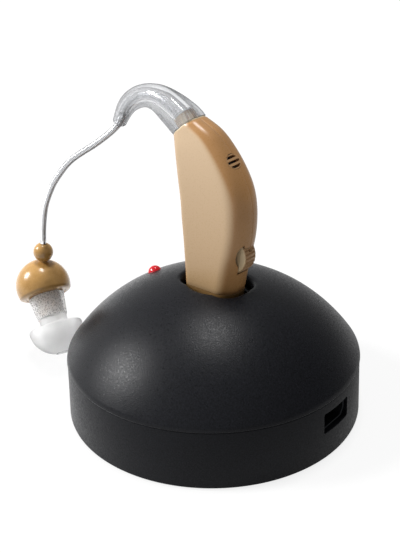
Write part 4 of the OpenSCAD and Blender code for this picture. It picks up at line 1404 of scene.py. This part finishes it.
    def build_cap(self) -> None:
        """The end cap, with a rounded foot and a bevelled upper edge; its darker tan is painted shade and a painted
        reflection of the dark dome where it sinks into the slot.
        """
        last = self.station_at(self.seam_z)
        rings = []
        for share in self.cap_rounds:
            z = self.seat_z + (1 - share) * self.wall
            rings.append(level(self.half_ring(self.station_at(z), share * self.wall), z))
        first = self.station_at(self.seat_z + self.wall)
        rings += [self.half_ring(float(station), 0) for station in np.arange(math.ceil(first), math.floor(last))]
        rings += [level(self.half_ring(last, a * self.edge), self.seam_z - b * self.edge) for a, b in BEVEL[::-1]]
        rings = [np.vstack([r, (r * (1, -1, 1))[-2:0:-1]]) for r in rings]
        settle(loft("end_cap_shell", rings), Body.AMPLIFIER, CAP_SHADED_TAN, "end_cap")

    def build_vent(self) -> None:
        """The round grille with three slits."""
        r, t, up, place = self.vent_radius, self.vent_thickness, self.vent_proud, self.vent_place()
        disc = revolve("vent_disc", fillet([(0, -t, 0), (r, -t, 0), (r, up, self.vent_round), (0, up, 0)], 4), place)
        cutters = []
        for k in (-1, 0, 1):
            xs = k * self.slit_spacing + np.linspace(-0.5, 0.5, self.slit_steps + 1) * self.slit_width
            reach = np.sqrt((r - self.slit_rim) ** 2 - xs**2)
            outline = np.vstack([np.stack([xs, -reach], 1), np.stack([xs[::-1], reach[::-1]], 1)])
            cutters.append(prism("slit", outline, -t - 1, 1, place))
        cut_away(disc, cutters)
        settle(disc, Body.AMPLIFIER, VENT_TAN, "vent_grille")

    def build(self) -> None:
        """Builds and dresses the case."""
        for side in Side:
            self.build_half(side)
        self.build_cap()
        self.build_vent()


@dataclass
class VolumeWheel:
    """The knurled wheel in the spine, with its index slot."""

    centre: Triple = WHEEL_CENTRE
    radius: float = 3.9
    width: float = 3.2
    knurls: int = 30
    knurl_depth: float = 0.22
    knurl_shape: float = 0.7
    sides_per_knurl: int = 8
    chamfer: float = 0.35
    blend: float = 0.6
    lip: float = 0.1
    edge: float = 0.08
    hub_share: float = 0.5
    index_angle: float = 20.0
    index_size: Triple = (0.45, 0.9, 0.5)
    bore: float = 0.65
    bore_floor: float = -0.5

    def ring(self, y: float, radius: float, depth: float) -> np.ndarray:
        """One ring of the wheel.

        Args:
            y: Its place along the axle.
            radius: Its radius.
            depth: Depth of the knurls there.

        Returns:
            The ring's points.
        """
        turn = angles(self.knurls * self.sides_per_knurl)
        r = radius - depth * np.clip(np.cos(self.knurls * turn), 0, 1) ** self.knurl_shape
        x, _, z = self.centre
        return np.stack([x + r * np.cos(turn), np.full(len(turn), y), z + r * np.sin(turn)], 1)

    def build(self) -> None:
        """Builds and dresses the wheel."""
        half, c, r, d = self.width / 2, self.chamfer, self.radius, self.knurl_depth
        b, e = self.blend, self.edge
        rows = [
            (half, r * self.hub_share, 0), (half, r - c - self.lip, 0), (half - e, r - c * b, 0),
            (half - c * b, r - e, d * b), (half - c, r, d),
        ]
        rows += [(-y, q, k) for y, q, k in rows[::-1]]
        wheel = loft("volume_wheel_knurled", [self.ring(*row) for row in rows], sharp=KNURL_CRISP)
        high, wide, depth = self.index_size
        middle = shifted(*self.centre)
        rim = middle @ turned(-self.index_angle, "Y") @ shifted(r, 0, 0) @ turned(90, "Y") @ turned(90, "Z")
        slot = prism("index_slot", rounded_rectangle(wide, high, self.edge, 2), -depth, 1, rim)
        cut_away(wheel, [slot, plug(self.bore, self.bore_floor, 3, middle @ turned(-90, "X"), FINE_SIDES)], KNURL_CRISP)
        # The wheel's finish paints a highlight on its flat faces.
        settle(wheel, Body.WHEEL, WHEEL_TAN, "volume_wheel")


@dataclass
class EarHook:
    """The clear hook over the ear, with the channel that the wires run in."""

    case: AmplifierCase
    reach: float = 18.8
    rise: float = 6.5
    tip_radius: float = 1.4
    channel: float = 0.85
    bore: float = 1.55
    bore_length: float = 2.4
    foot_edge: float = 0.03
    tip_rounds: Pairs = ((0.0, 0.25), (0.06, 0.07), (0.22, 0.0))
    steps: int = 8
    sides: int = 56
    line_shares: Pairs = (
        (0, 0.37), (0.06, 0.49), (0.12, 0.6), (0.2, 0.73), (0.29, 0.86), (0.37, 0.95), (0.45, 0.995),
        (0.55, 1), (0.64, 0.95), (0.73, 0.85), (0.82, 0.69), (0.89, 0.49), (0.95, 0.24), (1, 0),
    )
    width_shares: Shares = (2.11, 2.1, 2.07, 2.02, 1.93, 1.84, 1.75, 1.63, 1.56, 1.5, 1.4, 1.28, 1.12, 1)
    square_shares: Shares = (0.55, 0.55, 0.6, 0.68, 0.78, 0.88, 0.95, 1, 1, 1, 1, 1, 1, 1)

    def __post_init__(self) -> None:
        """Runs the hook's smooth line once."""
        middle, tilt = self.case.top_frame()
        lean, start = math.radians(tilt), self.line_shares[0][1]
        self.normal = np.array([-math.sin(lean), 0.0, math.cos(lean)])
        points = [middle + np.array([-s * self.reach, 0, (t - start) * self.rise]) for s, t in self.line_shares]
        self.line = smooth(points, self.steps)
        self.last = len(self.line) - 1

    def ring(self, i: int, radius: float, share: float = 1.0, lift: float = 0.0) -> np.ndarray:
        """A ring square to the hook's line.

        Args:
            i: The step along the line.
            radius: Half of the ring's width.
            share: How round its corners are, up to a circle at 1.
            lift: How far it is moved on along the line.

        Returns:
            The ring's points.
        """
        turn = 2 * math.pi * (np.arange(self.sides) + 0.5) / self.sides
        way = np.stack([np.cos(turn), np.sin(turn)], 1)
        c = radius * share
        d = self.normal if i == 0 else unit(self.line[min(i + 1, self.last)] - self.line[i - 1])
        return spanned(self.line[i] + d * lift, np.cross(Y_AXIS, d), Y_AXIS, np.sign(way) * (radius - c) + c * way)

    def build(self) -> None:
        """Builds and dresses the hook."""
        radii = smooth([w * self.tip_radius for w in self.width_shares], self.steps)
        squares = smooth(list(self.square_shares), self.steps)
        last, deep = self.last, self.bore_length
        edge, foot = self.foot_edge, squares[0]
        rings = [self.ring(0, radii[0] - edge, foot), self.ring(0, radii[0], foot, edge)]
        rings += [self.ring(i, radii[i], squares[i]) for i in range(2, last)]
        rings += [self.ring(last, radii[last] - k, 1, -z) for k, z in self.tip_rounds]
        rings += [self.ring(i, self.channel) for i in range(last, self.steps, -1)]
        rings += [self.ring(0, r, 1, up) for r, up in ((self.channel, deep), (self.bore, deep), (self.bore, 0.0))]
        settle(loft("hook_clear_shell", rings, loop=True), Body.AMPLIFIER, HOOK_CLEAR, "ear_hook")


# The earpiece


@dataclass
class Earpiece:
    """Bead, receiver shell, spout and ear tip."""

    centre: Triple = (-42.4, -9.3, 17.0)
    lean: float = 40.0
    heading: float = -22.5
    bead_lean: float = 6.0
    bead_heading: float = 41.0
    radius: float = 6.15
    wall: float = 1.0
    skirt: float = 2.4
    rim_round: float = 0.9
    plate_drop: float = 0.05
    bead_radius: float = 2.2
    bead_gap: float = 0.06
    stem: float = 0.9
    stem_head: Pair = (1.5, 0.6)
    lead_radius: float = 0.675
    spout: float = 2.5
    spout_wall: float = 0.8
    spout_length: float = 4.6
    plate: float = 1.1
    sleeve: Triple = (4.05, 3.4, 5.2)
    sleeve_gap: float = 0.1
    neck: Pair = (3.1, 2.5)
    mushroom: float = 6.0
    mushroom_depth: float = 0.98
    skirt_wall: float = 0.7
    tip_bore: float = 1.3
    mouth: float = 0.25
    fit: float = 0.05
    spout_rounds: Shares = (0.1, 0.2, 0.25, 0.15)
    sleeve_rounds: Triple = (0.25, 0.2, 0.2)
    neck_inside: float = 3.0
    hollow_from: float = 55.0
    hollow_gap: float = 0.1
    bend_from: float = 0.2
    bend_steps: int = 8
    hollow_steps: int = 24
    crown_steps: int = 36
    inner_steps: int = 40
    ball_steps: int = 60

    def frame(self) -> Matrix:
        """Frame of the receiver, Z out of the ear tip."""
        return shifted(*self.centre) @ turned(self.heading, "Z") @ turned(180 - self.lean, "Y")

    def bead_frame(self) -> Matrix:
        """Frame of the bead, Z from the receiver to the bead."""
        return shifted(*self.centre) @ turned(self.bead_heading, "Z") @ turned(self.bead_lean, "Y")

    def build_bead(self) -> None:
        """The bead on the lead's end, with the stem that the receiver swivels on."""
        reach, r = self.radius + self.bead_radius + self.bead_gap, self.bead_radius
        top = math.acos(self.lead_radius / r)
        low = -math.degrees(math.acos(self.stem / r))
        head, thick = self.stem_head
        inner = math.sqrt((self.radius - self.wall) ** 2 - head**2) - self.bead_gap
        profile = np.vstack([
            [(0, reach + r * math.sin(top))], arc((0, reach), r, math.degrees(top), low, self.inner_steps),
            [(self.stem, inner), (head, inner), (head, inner - thick), (0, inner - thick)],
        ])
        bead = revolve("bead_moulding", profile, self.bead_frame())
        settle(bead, Body.AMPLIFIER, EAR_TAN, "lead_bead")

    def build_shell(self) -> None:
        """The round shell with its rounded open edge."""
        r, inner, s, e = self.radius, self.radius - self.wall, self.skirt, self.rim_round
        ball = arc((0, 0), r, -90, math.degrees(math.asin((s - e) / r)), self.ball_steps)
        start = math.sqrt(r**2 - (s - e) ** 2)
        width = start - math.sqrt(r**2 - s**2) + e
        turn = np.linspace(self.bend_from, math.pi / 2, self.bend_steps)
        bend = np.stack([start - width * (1 - np.cos(turn)), s - e + e * np.sin(turn)], 1)
        back = arc((0, 0), inner, math.degrees(math.asin(s / inner)), -90, self.inner_steps)
        shell = revolve("receiver_moulding", np.vstack([ball, bend, back]), self.frame(), BROAD_SIDES)
        settle(shell, Body.RECEIVER, EAR_TAN, "receiver_shell")

    def build_spout(self) -> None:
        """The spout's plate and tube."""
        s, low, face = self.skirt, self.skirt - self.plate, self.skirt - self.plate_drop
        edge = math.sqrt((self.radius - self.wall) ** 2 - s**2) - self.fit
        bore, end = self.spout - self.spout_wall, s + self.spout_length
        a, b, c, d = self.spout_rounds
        profile = fillet([
            (bore, low, 0), (edge, low, 0), (edge, face, a),
            (self.spout, face, b), (self.spout, end, c), (bore, end, d),
        ])
        spout = revolve("spout_moulding", profile, self.frame())
        settle(spout, Body.RECEIVER, EAR_TAN, "receiver_spout")

    def build_tip(self) -> None:
        """The silicone tip: sleeve, neck and mushroom with its thin skirt; the sleeve is the clearer part."""
        start, seat = self.skirt + self.sleeve_gap, self.spout + self.fit
        wide, narrow, length = self.sleeve
        neck_r, neck_l = self.neck
        neck_z = start + length
        rim = neck_z + neck_l
        big, thin = self.mushroom, self.skirt_wall
        top, bore, end = rim + big * self.mushroom_depth, self.tip_bore, self.skirt + self.spout_length + self.fit
        crown = arc((0, rim), big, 0, math.degrees(math.asin(self.mushroom_depth)), self.crown_steps)
        inner = arc((0, rim), big - thin, self.hollow_from, 0, self.hollow_steps)
        inner = inner[inner[:, 0] > neck_r + self.hollow_gap][:-1]
        (a, b, c), inside, mouth = self.sleeve_rounds, rim + self.neck_inside, self.mouth
        outside = fillet([
            (seat, start, 0), (wide, start, a), (narrow, neck_z, b), (neck_r, neck_z, c),
            (neck_r, inside, 0), (seat, inside, 0),
        ])[:-2]
        profile = np.vstack([
            outside, [(neck_r, rim + math.sqrt((big - thin) ** 2 - neck_r**2))], inner,
            arc((big - thin / 2, rim), thin / 2, 180, 360, self.bend_steps), crown[1:],
            [(bore + mouth, top), (bore, top - mouth), (bore, end), (seat, end)],
        ])
        tip = revolve("ear_tip_silicone", profile, self.frame(), BROAD_SIDES)
        settle(tip, Body.TIP, TIP_SILICONE, "ear_tip")
        redress(tip, SLEEVE_SILICONE, placed(middles(tip), self.frame().inverted())[:, 2] < neck_z)

    def build(self) -> None:
        """Builds and dresses the earpiece."""
        self.build_bead()
        self.build_shell()
        self.build_spout()
        self.build_tip()


# What stays as it was packed


@dataclass(frozen=True)
class InnerWorks:
    """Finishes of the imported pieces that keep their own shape."""

    steel: Finish = Metal("bright_steel", (176, 178, 182))
    pale: Finish = Metal("satin_plate", (226, 227, 229), roughness=0.42, metallic=0.3)
    brass: Finish = Metal("turned_brass", (196, 158, 84))
    gold: Finish = Metal("gold_plate", (228, 188, 96), roughness=0.2)
    # Near-black metal: painted shade on the microphone seen through the vent slits, also used on the hidden driver.
    shaded_metal: Finish = Metal("metal_painted_shade", (74, 75, 78), roughness=0.5)
    tinned: Finish = Metal("tinned_wire", (190, 192, 194), stretch=EVEN)
    rubber: Finish = MouldedPlastic("pad_rubber", (24, 24, 26), drift=3, roughness=0.8, grain=0.5, grain_depth=0.03)
    board: Finish = CircuitBoard("board_green", (26, 88, 48))
    chip: Finish = MouldedPlastic("chip_black", (26, 26, 28), drift=2, roughness=0.5)
    blue: Finish = MouldedPlastic("control_blue", (38, 60, 96), drift=4)
    red: Finish = MouldedPlastic("wire_red", (170, 34, 38), drift=5)
    white: Finish = MouldedPlastic("filter_white", (226, 226, 222), drift=5, roughness=0.6)

    def table(self) -> dict[Finish, tuple[str, ...]]:
        """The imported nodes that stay.

        Returns:
            Their names, under their finishes.
        """
        return {
            self.rubber: ("non_slip_pad",),
            self.steel: ("tray_screws", "board_screws", "pocket_screws", "wheel_axle", "battery"),
            self.board: ("charger_board", "amplifier_board"),
            POCKET_SKIN: ("cradle_pocket",),
            self.brass: ("pin_barrels", "contact_posts"),
            self.gold: ("contact_pin_left", "contact_pin_right", "charge_contacts"),
            self.red: ("contact_wires",),
            self.tinned: ("led_leads", "inner_wire"),
            # painted shade on the microphone behind the vent
            self.shaded_metal: ("microphone", "receiver_driver"),
            self.chip: ("sound_chip",),
            self.blue: ("volume_control",),
            self.pale: ("hook_nozzle",),
            self.white: ("wax_filter",),
        }

    def build(self) -> None:
        """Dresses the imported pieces."""
        for finish, names in self.table().items():
            for name in names:
                dress(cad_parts[name], finish)
                LOG.info("%s: %s", name, finish.name)


def main() -> None:
    """Sets the studio, then builds each sub-assembly in order."""
    logging.basicConfig(level=logging.INFO, format="%(message)s")
    Studio().build()
    SoundLead().build()
    ChargingBase().build()
    SpringContacts().build()
    case = AmplifierCase()
    case.build()
    VolumeWheel().build()
    EarHook(case).build()
    Earpiece().build()
    InnerWorks().build()


if __name__ == "__main__":
    main()
